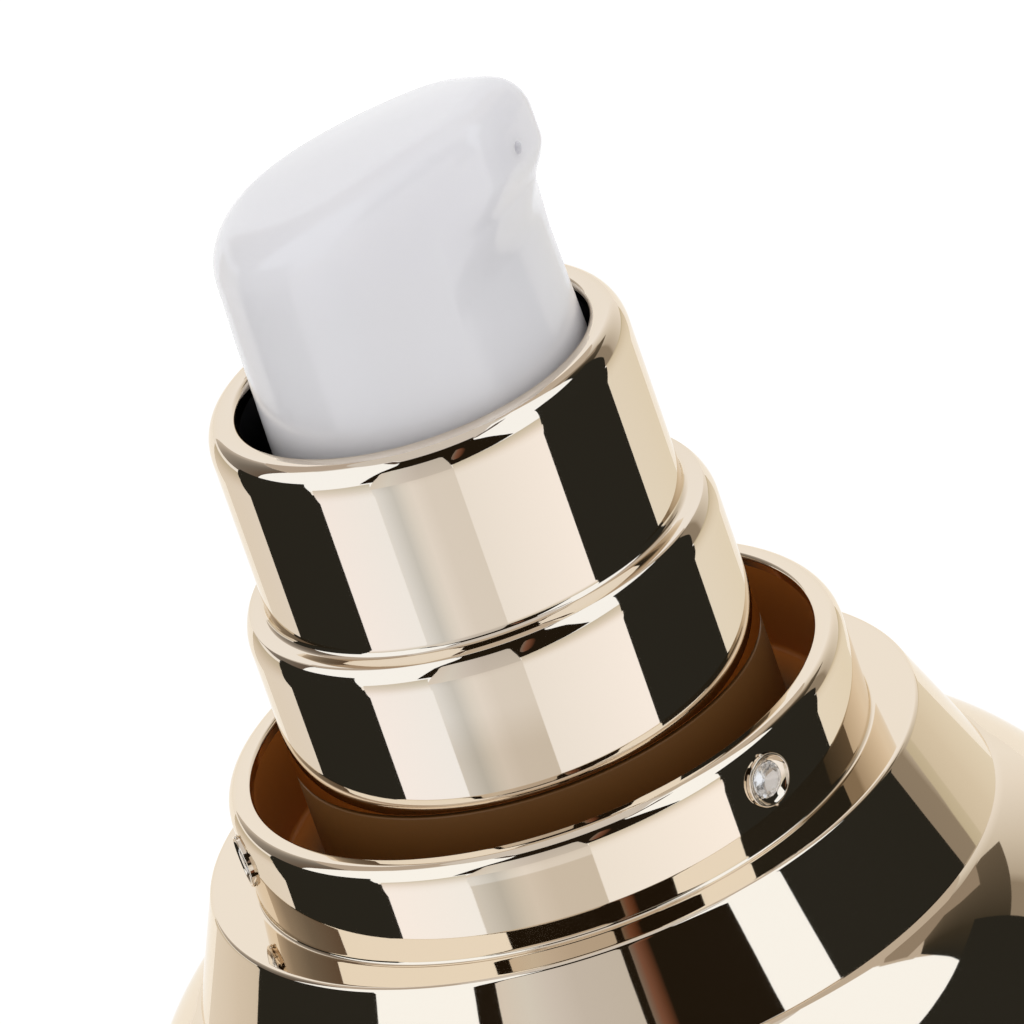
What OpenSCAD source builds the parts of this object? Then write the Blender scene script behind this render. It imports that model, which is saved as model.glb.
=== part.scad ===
// Treatment-pump oil bottle: outer body, liner, plated shoulder with stones, collar and dispensing pump.
// Units are millimetres. +Z is up, the foot stands on z = 0, and the nozzle points along +X.

/* [Outer body] */
// Height of the body from its foot to the joint with the shoulder
body_h = 48.2; // [44:0.1:56]
// Outer radius at the joint with the shoulder
joint_r = 19.6; // [19:0.05:20.5]
// Largest outer radius of the body
belly_r = 25.15; // [24:0.05:28]
// Radius of the round between the joint and the belly
body_round_r = 13; // [11:0.5:16]
// Radius of the long barrel curve from the belly down to the heel
barrel_round_r = 245; // [200:5:400]
// Radius of the heel round at the foot
heel_round_r = 4; // [2.5:0.1:6]
// Radius of the hollow under the foot
foot_hollow_r = 14; // [10:0.5:17]
// Height of the hollow under the foot
foot_hollow_h = 0.8; // [0.4:0.1:2]
// Thickness of the body's floor, over the foot
body_floor_t = 5.5; // [3.5:0.1:8]
// Wall thickness of the body at the joint
joint_wall = 1.65; // [1.3:0.05:1.9]
// Small edge break on both sides of the joint
joint_edge = 0.05; // [0.03:0.01:0.2]

/* [Liner] */
// Gap between the liner and the cavity it stands in
liner_gap = 0.6; // [0.3:0.05:1.5]
// Wall thickness of the liner
liner_wall = 1; // [0.7:0.05:1.4]
// Thickness of the liner's floor
liner_floor_t = 1.2; // [0.8:0.1:2]
// Radius of the liner's upper round
liner_round_r = 4; // [3:0.1:5]
// Radius of the plain neck base that stands in the shoulder
neck_base_r = 9.95; // [9.8:0.01:10.2]
// Step from the neck base to the neck between the threads
thread_depth = 1; // [0.8:0.05:1.2]
// Wall thickness of the neck between the threads
neck_wall = 2.15; // [1.8:0.05:2.4]
// Height of the neck's sealing land over the shoulder's boss
neck_h = 6.95; // [6.4:0.05:7.4]
// Overhang of the flange that holds the liner under the shoulder
liner_flange_w = 1.45; // [1:0.05:2.4]
// Thickness of that flange
liner_flange_t = 1.2; // [0.8:0.1:1.6]

/* [Shoulder] */
// Height of the cone, from the joint to the ledge
cone_h = 5.45; // [4.8:0.05:8]
// How far the cone closes in, from the joint to the ledge
cone_w = 2.25; // [1.6:0.05:2.6]
// Edge round of the ledge
ledge_round_r = 0.3; // [0.15:0.05:0.6]
// Width of the ledge, from its edge to the upstanding ring
ledge_w = 2.25; // [1.8:0.05:2.6]
// Wall thickness of the ring, which the overcap drops into
ring_wall = 1.3; // [1.2:0.05:1.6]
// Height of the ring over the ledge
ring_h = 4.95; // [4.4:0.05:6]
// Width of the outer edge round of the ring's rim
ring_round_w = 0.75; // [0.4:0.05:0.8]
// Height of that round
ring_round_h = 1.0; // [0.4:0.05:1.3]
// Inner edge round of the ring's rim
ring_inner_round_r = 0.3; // [0.1:0.05:0.4]
// Fillet between the ring and the ledge
ring_fillet_r = 0.25; // [0.1:0.05:0.5]
// Depth of the cap groove under the ring's rim
groove_depth = 5.1; // [4:0.1:5.3]
// Wall thickness of the boss inside the groove
boss_wall = 1.3; // [1.1:0.05:1.6]
// Edge break of the boss
boss_edge = 0.1; // [0.05:0.05:0.3]
// Height of the boss over the ring's rim
boss_rise = 0.65; // [0.2:0.05:0.9]
// Thickness of the shoulder's deck under the groove
deck_t = 1.3; // [1:0.05:2]
// Height of the spigot that plugs into the body
spigot_h = 4.5; // [3:0.1:6]
// Wall thickness of the spigot
spigot_wall = 1.3; // [1:0.05:1.3]

/* [Stones] */
// Height of the stones' middle over the ledge
stone_level = 2.7; // [2.4:0.05:3.1]
// Number of stones round the ring
stone_count = 3; // [3]
// Angle of the first stone from the nozzle's direction
stone_start_a = -17; // [-60:1:60]
// Outer radius of a setting
setting_r = 1.28; // [1.1:0.01:1.5]
// Depth that a setting is let into the ring
setting_depth = 0.9; // [0.75:0.05:0.95]
// Height of the setting's domed face over the ring
setting_proud = 0.36; // [0.3:0.01:0.5]
// Radius of a claw bead
claw_r = 0.1; // [0.08:0.01:0.15]
// Girdle radius of a stone
stone_r = 0.72; // [0.5:0.01:0.8]
// Height of a stone's table over its girdle
stone_rise = 0.14; // [0.08:0.01:0.2]

/* [Collar and closure] */
// How far the collar's lower step stands over the boss, in radius
collar_over = 0.2; // [0:0.05:0.5]
// Height of the lower step
collar_low_h = 7.55; // [7.3:0.05:8.2]
// Width of the step between the collar's two barrels
step_w = 1.3; // [1.15:0.05:1.5]
// Height of the upper step
collar_up_h = 10.05; // [9.2:0.05:12]
// Metal thickness of the collar
collar_t = 0.5; // [0.35:0.05:0.55]
// Width of the collar's rolled rim
rim_w = 1.65; // [1.5:0.05:1.9]
// Depth of the rolled rim
rim_depth = 0.9; // [0.8:0.05:1.4]
// Inner round of the rolled rim
rim_inner_round_r = 0.5; // [0.2:0.05:0.5]
// Width of the outer round of the rolled rim
rim_round_w = 0.95; // [0.6:0.05:1]
// Height of that round
rim_round_h = 1.6; // [0.6:0.05:1.8]
// Width of the round on the lower step's top edge
step_round_w = 0.7; // [0.4:0.05:0.75]
// Height of that round
step_round_h = 1.35; // [0.4:0.05:1.6]
// Radius of the bead at the foot of the upper step
bead_r = 0.16; // [0.1:0.01:0.2]
// Radial gap between the closure's bore and the neck base, which the threads reach to
thread_gap = 0.1; // [0.05:0.01:0.2]
// Thickness of the closure's deck
closure_deck_t = 1.2; // [1:0.1:1.6]
// Gap between the collar and the shoulder's boss
collar_gap = 0.15; // [0.1:0.05:0.5]

/* [Pump] */
// How far the head can be pressed
stroke = 3.8; // [3:0.1:4.2]
// How far the pump's flange and the gasket stay inside the neck, in radius
flange_inset = 0.1; // [0.05:0.05:0.4]
// Thickness of that flange
flange_t = 1; // [0.8:0.05:1.4]
// Thickness of the gasket
gasket_t = 0.8; // [0.6:0.05:1.2]
// Bore radius of the chamber
chamber_r = 4; // [3.8:0.05:4.2]
// Wall thickness of the chamber
chamber_wall = 0.9; // [0.7:0.05:1]
// Height of the chamber's rim over the flange
chamber_rise = 2.5; // [2.2:0.1:3]
// Thickness of the guide's cap
guide_cap_t = 1; // [0.8:0.1:1.4]
// Length of the guide inside the chamber
guide_plug_h = 5.6; // [5:0.1:6.5]
// Radius of the stem
stem_r = 2; // [1.8:0.05:2.2]
// Bore radius of the stem
stem_bore_r = 1.1; // [0.9:0.05:1.2]
// Length of the stem
stem_h = 19.5; // [19:0.1:20]
// Radius of the stem's shoulder over the piston
stem_shoulder_r = 2.6; // [2.45:0.05:2.7]
// Radius of one cross port in the stem
port_r = 0.4; // [0.3:0.05:0.5]
// Height of the piston
piston_h = 3.95; // [3.5:0.05:5]
// Height of one sealing lip
lip_h = 0.6; // [0.4:0.05:0.8]
// Radius of the piston's waist
piston_waist_r = 3.2; // [3:0.05:3.4]
// Radius of the rod's head, under the piston
rod_head_r = 2.7; // [2.5:0.05:2.8]
// Height of the rod's head
rod_head_h = 1.2; // [1:0.1:1.8]
// Radius of the rod's tail, inside the spring
rod_tail_r = 1.5; // [1.2:0.05:1.7]
// Length of the rod's tail
rod_tail_h = 4; // [2:0.1:4.5]
// Wire diameter of the spring
spring_wire = 0.6; // [0.5:0.05:0.7]
// Mean radius of the spring's coils
spring_r = 2.5; // [2.4:0.05:2.6]
// Length of the spring as assembled
spring_h = 13.1; // [12:0.1:16]
// Number of the spring's turns
spring_turns = 7; // [5:1:8]
// Length of the rod's shank inside the stem's bore
shank_h = 2.2; // [1.6:0.1:2.3]
// Radius of the foot valve's ball
ball_r = 1.5; // [1.4:0.05:1.6]
// Radius of the ball's cage
cage_r = 1.9; // [1.85:0.05:2.05]
// Height of the ball's cage, from its seat to the spring
cage_h = 3.5; // [3.4:0.1:4.5]
// How far the ball can lift
ball_lift = 1.2; // [0.8:0.1:1.3]
// Radius of the inlet under the ball
inlet_r = 0.9; // [0.7:0.05:1]
// Outer radius of the dip tube
tube_r = 1.5; // [1.3:0.05:1.7]
// Bore radius of the dip tube
tube_bore_r = 1; // [0.7:0.05:1.1]
// Depth of the dip tube's socket
socket_h = 7; // [5:0.5:10]
// Clearance between the dip tube's mouth and the liner's floor
tube_clear = 1.2; // [0.8:0.1:3]

/* [Press head] */
// Radial gap between the head's wall and the collar's rolled rim, for a centred head
head_gap = 0.98; // [0.9:0.01:1.2]
// Distance of the head's outer skin from the stem's axis, towards the nozzle
head_offset = 0.5; // [0:0.05:0.5]
// Draft angle of the wall
head_draft_a = 1.2; // [0.5:0.1:1.3]
// Height of the top's middle over the collar's rim
head_rise = 11.45; // [11:0.05:13]
// Depth that the skirt reaches under the collar's rim
skirt_depth = 3.4; // [2:0.05:3.5]
// Rise of the top towards the nozzle, per millimetre
head_slope = 0.294; // [0.2:0.002:0.36]
// Crown of the top across the nozzle's direction, per square millimetre
head_crown = 0.016; // [0:0.002:0.03]
// Edge round of the top
head_round_r = 2.3; // [1:0.05:2.4]
// How far the nozzle's flat face stands out from the head's wall
nozzle_over = 1.65; // [1.4:0.05:2.6]
// Width of the nozzle's flat face
nozzle_w = 4.6; // [3:0.1:4.8]
// Height of the nozzle's top edge over the outlet's middle
outlet_drop = 1.1; // [0.8:0.1:1.6]
// Bore radius of the outlet
outlet_r = 0.35; // [0.3:0.05:0.6]
// Wall thickness of the head's skirt, for a centred skin
head_wall = 1.5; // [1.4:0.05:1.7]
// Least thickness of the head's top
head_top_t = 2.4; // [2:0.1:2.8]
// Outer radius of the boss that takes the stem
head_boss_r = 3.3; // [3:0.05:3.8]
// Half angle of the flattened panel under the nozzle
panel_a = 36; // [33:0.5:41]
// Radius of the flattened panel's curve
panel_round_r = 8.8; // [8.6:0.1:13]
// Height of the panel arch's foot over the collar's rim
arch_foot_h = 6.2; // [5:0.1:6.4]
// Rise of the panel's arch
arch_rise = 1.9; // [1.6:0.1:3]
// Height over which the arch runs out into the nozzle
arch_blend_h = 1.45; // [1:0.05:1.8]
// Height of the soft cove that leads up to the arch
cove_h = 3.5; // [2:0.1:3.6]
// Share of the nozzle's overhang that the cove takes up
cove_share = 0.6; // [0.3:0.05:0.7]

/* [Fits] */
// Gap between pieces that are fixed to each other
seat_gap = 0.02; // [0.01:0.01:0.03]
// Radial running clearance of the stem and the piston
run_gap = 0.05; // [0.02:0.01:0.08]
// Gap between a liner or spigot and the cavity it plugs into
plug_gap = 0.05; // [0.03:0.01:0.1]

/* [Hidden] */

GOLD = "#e3d3ba";
WHITE = "#e6e5ea";
NATURAL = "#d9dde0";
BLACK = "#1c1b1d";

// Radii that follow from the joint and from the neck
cavity_r = joint_r - joint_wall;
liner_r = cavity_r - liner_gap;
ledge_r = joint_r - cone_w;
ring_r = ledge_r - ledge_w;
ring_bore_r = ring_r - ring_wall;
neck_r = neck_base_r - thread_depth;
neck_bore_r = neck_r - neck_wall;
neck_hole_r = neck_base_r + plug_gap;
liner_flange_r = neck_base_r + liner_flange_w;
boss_r = neck_hole_r + boss_wall;
collar_low_r = boss_r + collar_over;
collar_up_r = collar_low_r - step_w;
rim_bore_r = collar_up_r - rim_w;
thread_bore_r = neck_base_r + thread_gap;
flange_r = neck_r - flange_inset;
head_r = rim_bore_r - head_gap;
head_bore_r = head_r - head_wall;
nozzle_reach = head_r + nozzle_over;

// Levels of the body and the shoulder
belly_z = body_h - sqrt(pow(body_round_r, 2) - pow(joint_r - belly_r + body_round_r, 2));
ledge_z = body_h + cone_h;
ring_top_z = ledge_z + ring_h;
groove_z = ring_top_z - groove_depth;
deck_z = groove_z - deck_t;
boss_z = ring_top_z + boss_rise;
spigot_r = cavity_r - plug_gap;
spigot_bore_r = spigot_r - spigot_wall;

// Levels of the stone's girdle and of its pointed back, over the ring
girdle_t = 0.08;
girdle_z = setting_proud - 0.06;
stone_back_z = girdle_z - girdle_t - 0.7 * stone_r;

// Levels of the liner
liner_z = body_floor_t + plug_gap;
liner_round_z = body_h - spigot_h - 0.75 * liner_round_r;
land_z = boss_z + neck_h;

// Levels of the collar and the closure
collar_z = boss_z + collar_gap;
step_z = collar_z + collar_low_h;
rim_z = step_z + collar_up_h;
sleeve_low_r = collar_low_r - collar_t;
sleeve_up_r = collar_up_r - collar_t;
flange_z = land_z + gasket_t;
flange_top_z = flange_z + flange_t;
closure_deck_z = flange_top_z + closure_deck_t;

// Levels of the pump, from the flange
chamber_top_z = flange_top_z + chamber_rise;
guide_z = chamber_top_z - guide_plug_h;
guide_pocket_r = stem_shoulder_r + 0.2;
chamber_top_r = chamber_r + chamber_wall + 0.3;
piston_top_z = guide_z - run_gap;
piston_z = piston_top_z - piston_h;
rod_head_z = piston_z - seat_gap - rod_head_h;
stem_z = piston_z + 0.6;
stem_shoulder_z = piston_top_z + run_gap;
stem_shoulder_h = 0.8;
shank_top_z = stem_z + shank_h;
shank_tip_h = 0.2;
port_z = shank_top_z + shank_tip_h + port_r;
spring_top_z = rod_head_z - seat_gap;
spring_seat_z = spring_top_z - spring_h - seat_gap;
seat_cone_z = spring_seat_z - cage_h;
seat_bottom_z = seat_cone_z - (cage_r - inlet_r);
ball_z = seat_bottom_z - inlet_r + ball_r * sqrt(2) + seat_gap;
socket_top_z = seat_bottom_z - 1.5;
tail_z = socket_top_z - socket_h;

// Levels of the press head
head_top_z = rim_z + head_rise;
skirt_z = rim_z - skirt_depth;
head_boss_z = chamber_top_z + guide_cap_t + stroke + 0.4;
head_ceiling_z = head_top_z - head_slope * head_bore_r - head_crown * pow(head_bore_r, 2) - head_top_t;
outlet_z = head_top_z + head_slope * nozzle_reach - head_round_r - outlet_drop;
stem_top_z = stem_z + stem_h;

// Points of an arc about c, from angle a0 to a1 in n steps
function arc(c, r, a0, a1, n) =
    [for (i = [0:n]) c + r * [cos(a0 + (a1 - a0) * i / n), sin(a0 + (a1 - a0) * i / n)]];

// Points of a quarter of an oval about c, with half axes w and h, from the side to the top in n steps
function quarter(c, w, h, n) = [for (i = [0:n]) c + [w * cos(90 * i / n), h * sin(90 * i / n)]];

// A solid turned about the bottle's axis from an outline of radii and heights
module turned(outline) {
    rotate_extrude($fn = 96) polygon(outline);
}

// Outer body: heel round, long barrel curve and round shoulder outside, straight cavity inside
module body_shell() {
    barrel_x = belly_r - barrel_round_r;
    heel_x = barrel_x + sqrt(pow(barrel_round_r - heel_round_r, 2) - pow(belly_z - heel_round_r, 2));
    heel_a = -asin((belly_z - heel_round_r) / (barrel_round_r - heel_round_r));
    round_x = belly_r - body_round_r;
    round_a = acos((joint_r - round_x) / body_round_r);
    color(GOLD) turned(concat(
        [[0, foot_hollow_h], [foot_hollow_r - foot_hollow_h, foot_hollow_h], [foot_hollow_r, 0]],
        arc([heel_x, heel_round_r], heel_round_r, -90, heel_a, 8),
        arc([barrel_x, belly_z], barrel_round_r, heel_a * 7 / 8, 0, 7),
        arc([round_x, belly_z], body_round_r, round_a / 14, round_a - 0.5, 13),
        [[joint_r - joint_edge, body_h], [cavity_r, body_h], [cavity_r, body_floor_t], [0, body_floor_t]]
    ));
}

// Liner: straight wall, rounded upper end, flange under the shoulder and a plain 20 mm neck
module inner_bottle() {
    round_c = [liner_r - liner_round_r, liner_round_z];
    color(NATURAL) turned(concat(
        [[0, liner_z], [liner_r - 1.5, liner_z]],
        arc([liner_r - 1.5, liner_z + 1.5], 1.5, -60, 0, 3),
        arc(round_c, liner_round_r, 0, 60, 6),
        [
            [liner_flange_r - 0.6, deck_z - seat_gap - liner_flange_t],
            [liner_flange_r, deck_z - seat_gap - liner_flange_t],
            [liner_flange_r, deck_z - seat_gap],
            [neck_base_r, deck_z - seat_gap],
            [neck_base_r, boss_z - 0.15],
            [neck_r, boss_z + 0.05],
            [neck_r, land_z],
            [neck_bore_r, land_z],
            [neck_bore_r, deck_z - 0.6],
            [neck_bore_r + 2, deck_z - liner_flange_t - liner_wall]
        ],
        arc(round_c, liner_round_r - liner_wall, 60, 0, 6),
        [[liner_r - liner_wall, liner_z + liner_floor_t + 0.8],
         [liner_r - liner_wall - 0.8, liner_z + liner_floor_t], [0, liner_z + liner_floor_t]]
    ));
}

// Shoulder: spigot, cone, ledge and upstanding ring, with the cap groove and the neck's boss inside
module shoulder() {
    cone_a = atan2(joint_r - ledge_r, cone_h - ledge_round_r);
    ledge_c = [ledge_r - ledge_round_r, ledge_z - ledge_round_r];
    joint_z = body_h + seat_gap;
    color(GOLD) difference() {
        turned(concat(
            [[spigot_bore_r, body_h - spigot_h], [spigot_r, body_h - spigot_h], [spigot_r, joint_z],
             [joint_r - joint_edge, joint_z], [joint_r, joint_z + joint_edge]],
            arc(ledge_c, ledge_round_r, cone_a, 90, 5),
            arc([ring_r + ring_fillet_r, ledge_z + ring_fillet_r], ring_fillet_r, 270, 180, 3),
            quarter([ring_r - ring_round_w, ring_top_z - ring_round_h], ring_round_w, ring_round_h, 7),
            arc([ring_bore_r + ring_inner_round_r, ring_top_z - ring_inner_round_r],
                ring_inner_round_r, 90, 180, 3),
            [[ring_bore_r, groove_z], [boss_r, groove_z],
             [boss_r, boss_z - boss_edge], [boss_r - boss_edge, boss_z],
             [neck_hole_r, boss_z], [neck_hole_r, deck_z],
             [spigot_bore_r - 1.2, deck_z], [spigot_bore_r, body_h + 1]]
        ));
        for (i = [0:stone_count - 1])
            at_stone(i) translate([0, 0, -setting_depth])
                cylinder(r = setting_r + seat_gap, h = 2 * setting_r, $fn = 32);
    }
}

// Places a child on the ring's wall, with its own +Z pointing outwards and its +X pointing down
module at_stone(i) {
    rotate([0, 0, stone_start_a + i * 360 / stone_count])
        translate([ring_r, 0, ledge_z + stone_level]) rotate([0, 90, 0]) children();
}

// Setting: turned button with a domed face, a conical seat for the stone and a claw bead above and below
module setting(i) {
    seat_r = stone_r + seat_gap;
    flank_h = 0.02;
    face = quarter([seat_r, flank_h], setting_r - seat_r, setting_proud - flank_h, 6);
    color(GOLD) at_stone(i) {
        rotate_extrude($fn = 32) polygon(concat(
            [[0, seat_gap - setting_depth], [setting_r, seat_gap - setting_depth]],
            face,
            [[seat_r, girdle_z - girdle_t - seat_gap], [0, stone_back_z - seat_gap]]
        ));
        for (side = [-1, 1])
            translate([side * (setting_r + 0.02), 0, claw_r - 0.01]) sphere(r = claw_r, $fn = 16);
    }
}

// Stone: eight-sided brilliant with a flat table and a pointed back
module rhinestone(i) {
    color("#eef2f6") at_stone(i) rotate_extrude($fn = 8) polygon([
        [0, stone_back_z], [stone_r, girdle_z - girdle_t], [stone_r, girdle_z],
        [stone_r * 0.6, girdle_z + stone_rise], [0, girdle_z + stone_rise]
    ]);
}

// Collar: thin two-step sleeve with a rolled rim, a bead at the step and a rolled-in lower edge
module collar_sleeve() {
    color(GOLD) turned(concat(
        [[sleeve_low_r, collar_z]],
        arc([collar_low_r - 0.25, collar_z + 0.25], 0.25, -90, 0, 3),
        quarter([collar_low_r - step_round_w, step_z - step_round_h], step_round_w, step_round_h, 7),
        [[collar_up_r + bead_r + 0.1, step_z]],
        arc([collar_up_r + 0.05, step_z + bead_r + 0.1], bead_r, -30, 80, 5),
        [[collar_up_r, step_z + 2 * bead_r + 0.2]],
        quarter([collar_up_r - rim_round_w, rim_z - rim_round_h], rim_round_w, rim_round_h, 7),
        arc([rim_bore_r + rim_inner_round_r, rim_z - rim_inner_round_r], rim_inner_round_r, 90, 180, 4),
        [[rim_bore_r, rim_z - rim_depth], [sleeve_up_r, rim_z - rim_depth],
         [sleeve_up_r, step_z - collar_t], [sleeve_low_r, step_z - collar_t]]
    ));
}

// Closure: skirt over the neck, pocket and deck over the pump's flange, chimney round the head
module screw_closure() {
    skirt_r = sleeve_low_r - seat_gap;
    chimney_r = sleeve_up_r - seat_gap;
    chimney_bore_r = rim_bore_r + 0.1;
    pocket_r = flange_r + 0.1;
    color(BLACK) turned([
        [thread_bore_r, collar_z + 0.3], [skirt_r, collar_z + 0.3],
        [skirt_r, step_z - collar_t - seat_gap], [chimney_r, step_z - collar_t - seat_gap],
        [chimney_r, rim_z - rim_depth - seat_gap], [chimney_bore_r, rim_z - rim_depth - seat_gap],
        [chimney_bore_r, closure_deck_z], [chamber_top_r + 0.25, closure_deck_z],
        [chamber_top_r + 0.25, flange_top_z + seat_gap], [pocket_r, flange_top_z + seat_gap],
        [pocket_r, land_z + seat_gap], [thread_bore_r, land_z - 0.8]
    ]);
}

// Gasket: flat washer on the neck's land
module neck_gasket() {
    color("#c9ccd0") translate([0, 0, land_z + seat_gap]) difference() {
        cylinder(r = flange_r, h = gasket_t - 2 * seat_gap, $fn = 96);
        translate([0, 0, -gasket_t]) cylinder(r = neck_bore_r + flange_inset, h = 3 * gasket_t, $fn = 96);
    }
}

// Housing: flange, chamber, spring seat, ball cage with three stops, ball seat and tube socket
module pump_housing() {
    chamber_out_r = chamber_r + chamber_wall;
    cage_out_r = cage_r + 1.1;
    tail_r = tube_r + 0.9;
    pocket_r = spring_r + spring_wire / 2 + 0.3;
    stop_reach_r = ball_r - 0.3;
    stop_z = ball_z + ball_lift + sqrt(pow(ball_r, 2) - pow(stop_reach_r, 2)) + 0.05;
    color(NATURAL) {
        turned([
            [tube_r + seat_gap, tail_z], [tail_r, tail_z], [tail_r, socket_top_z],
            [cage_out_r, seat_bottom_z], [cage_out_r, spring_seat_z - 0.6],
            [chamber_out_r, spring_seat_z + 1.6], [chamber_out_r, flange_z], [flange_r, flange_z],
            [flange_r, flange_top_z], [chamber_top_r, flange_top_z], [chamber_top_r, chamber_top_z],
            [chamber_r, chamber_top_z], [chamber_r, spring_seat_z + 2], [pocket_r, spring_seat_z + 1.2],
            [pocket_r, spring_seat_z], [cage_r, spring_seat_z], [cage_r, seat_cone_z],
            [inlet_r, seat_bottom_z], [inlet_r, socket_top_z], [tube_r + seat_gap, socket_top_z]
        ]);
        for (i = [0:2])
            rotate([0, 0, 120 * i]) translate([stop_reach_r, -0.3, stop_z])
                cube([cage_r - stop_reach_r + 0.3, 0.6, 0.5]);
    }
}

// Guide: cap and plug in the chamber's mouth, with a pocket for the stem's shoulder
module stem_guide() {
    color(WHITE) turned([
        [guide_pocket_r, guide_z], [chamber_r - seat_gap, guide_z],
        [chamber_r - seat_gap, chamber_top_z + seat_gap], [chamber_top_r, chamber_top_z + seat_gap],
        [chamber_top_r, chamber_top_z + guide_cap_t], [stem_r + run_gap, chamber_top_z + guide_cap_t],
        [stem_r + run_gap, chamber_top_z - 1.3], [guide_pocket_r, chamber_top_z - 1.9]
    ]);
}

// Dip tube: plain tube with a slanted mouth over the liner's floor
module dip_tube() {
    top_z = socket_top_z - seat_gap;
    mouth_z = liner_z + liner_floor_t + tube_clear;
    cut = 4 * tube_r;
    color("#e8eef2") difference() {
        translate([0, 0, mouth_z]) cylinder(r = tube_r, h = top_z - mouth_z, $fn = 48);
        translate([0, 0, mouth_z - 1]) cylinder(r = tube_bore_r, h = top_z - mouth_z + 2, $fn = 48);
        translate([-tube_r, 0, mouth_z]) rotate([0, -45, 0])
            translate([-cut, -cut / 2, -cut]) cube([2 * cut, cut, cut]);
    }
}

// Spring: round wire swept along a helix, with its two ends turned flat
module return_spring() {
    sides = 8;
    steps = 14 * (spring_turns + 2);
    wire_r = spring_wire / 2;
    pitch_h = spring_h - spring_wire;
    // Share of the rise at turn t: the first and last turns stay flat
    function rise(t) = min(1, max(0, (t - 0.75) / (spring_turns + 0.5)));
    function ring(k) =
        let (t = k * (spring_turns + 2) / steps, a = 360 * t, z = spring_seat_z + wire_r + seat_gap
            + 0.05 * t + (pitch_h - 0.05 * (spring_turns + 2)) * rise(t))
        [for (j = [0:sides - 1]) let (b = 360 * j / sides, r = spring_r + wire_r * cos(b))
            [r * cos(a), r * sin(a), z + wire_r * sin(b)]];
    points = [for (k = [0:steps]) each ring(k)];
    walls = [for (k = [0:steps - 1]) for (j = [0:sides - 1])
        let (a = k * sides + j, b = k * sides + (j + 1) % sides) [a, b, b + sides, a + sides]];
    ends = [[for (j = [sides - 1:-1:0]) j], [for (j = [0:sides - 1]) steps * sides + j]];
    color("silver") polyhedron(points, concat([for (f = walls) [f[3], f[2], f[1], f[0]]],
        [for (e = ends) [for (j = [sides - 1:-1:0]) e[j]]]));
}

// Ball of the foot valve, on its seat
module inlet_ball() {
    color("silver") translate([0, 0, ball_z]) sphere(r = ball_r, $fn = 48);
}

// Piston: sleeve with a sealing lip at each end and a narrow waist
module piston() {
    lip_r = chamber_r - run_gap;
    bore_r = stem_r + run_gap;
    color(WHITE) turned([
        [bore_r, piston_z], [lip_r, piston_z], [lip_r, piston_z + lip_h],
        [piston_waist_r, piston_z + 2 * lip_h], [piston_waist_r, piston_top_z - 2 * lip_h],
        [lip_r, piston_top_z - lip_h], [lip_r, piston_top_z], [bore_r, piston_top_z]
    ]);
}

// Rod: shank in the stem's bore, head under the piston and tail inside the spring
module piston_rod() {
    shank_r = stem_bore_r - seat_gap;
    color(WHITE) turned([
        [0, rod_head_z - rod_tail_h], [rod_tail_r - 0.3, rod_head_z - rod_tail_h],
        [rod_tail_r, rod_head_z - rod_tail_h + 0.6], [rod_tail_r, rod_head_z],
        [rod_head_r, rod_head_z], [rod_head_r, rod_head_z + rod_head_h],
        [stem_r - 0.1, rod_head_z + rod_head_h], [stem_r - 0.1, stem_z - seat_gap],
        [shank_r, stem_z - seat_gap], [shank_r, shank_top_z], [0, shank_top_z + shank_tip_h]
    ]);
}

// Stem: tube with a shoulder over the piston and two cross ports that the piston covers
module stem() {
    color(WHITE) difference() {
        turned([
            [stem_bore_r, stem_z], [stem_r, stem_z], [stem_r, stem_shoulder_z],
            [stem_shoulder_r, stem_shoulder_z], [stem_shoulder_r, stem_shoulder_z + stem_shoulder_h],
            [stem_r, stem_shoulder_z + stem_shoulder_h], [stem_r, stem_top_z],
            [stem_bore_r, stem_top_z]
        ]);
        translate([0, 0, port_z]) rotate([90, 0, 0])
            cylinder(r = port_r, h = 2 * stem_r + 2, center = true, $fn = 24);
    }
}

// The head's skin is measured from its own axis, head_offset from the stem's axis.
// Plan radius of the head at the nozzle's level, at angle a from the nozzle: a circle whose flanks run
// straight to the edges of a flat face, with soft corners
corner_a = atan2(nozzle_w / 2, nozzle_reach);
flank_a = corner_a + acos(head_r / norm([nozzle_reach, nozzle_w / 2]));
function soft_min(u, v) = pow(pow(u, -40) + pow(v, -40), -1 / 40);
function beak_r(a) = abs(a) < flank_a
    ? soft_min(nozzle_reach / cos(a), head_r / cos(flank_a - abs(a))) : head_r;

// Plan radius of the flattened panel under the nozzle
panel_half_a = asin(head_r * sin(panel_a) / panel_round_r);
panel_back = panel_round_r * cos(panel_half_a) - head_r * cos(panel_a);
function panel_r(a) = abs(a) < panel_a
    ? sqrt(pow(panel_round_r, 2) - pow(panel_back * sin(a), 2)) - panel_back * cos(a) : head_r;

// Height of the panel's arch over the collar's rim at angle a
function arch_h(a) = arch_foot_h + (abs(a) < panel_a ? arch_rise * sqrt(1 - pow(abs(a) / panel_a, 3)) : 0);
function smooth(t) = let (s = min(1, max(0, t))) s * s * (3 - 2 * s);

// Radius of the head's wall at angle a and height z: panel, soft cove, arch and nozzle, with draft
function wall_r(a, z) =
    let (over = z - rim_z - arch_h(a),
        cove = smooth((over + cove_h - arch_blend_h / 2) / cove_h),
        blend = cove_share * cove + (1 - cove_share) * smooth(over / arch_blend_h))
    panel_r(a) * (1 - blend) + beak_r(a) * blend + (head_top_z - z) * tan(head_draft_a) * (1 - blend / 2);

// Height of the sloping, crowned top over the point at distance r and angle a
function top_z(a, r) = head_top_z + head_slope * r * cos(a) - head_crown * pow(r * sin(a), 2)
    - 0.002 * pow(r * cos(a), 2);

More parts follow.
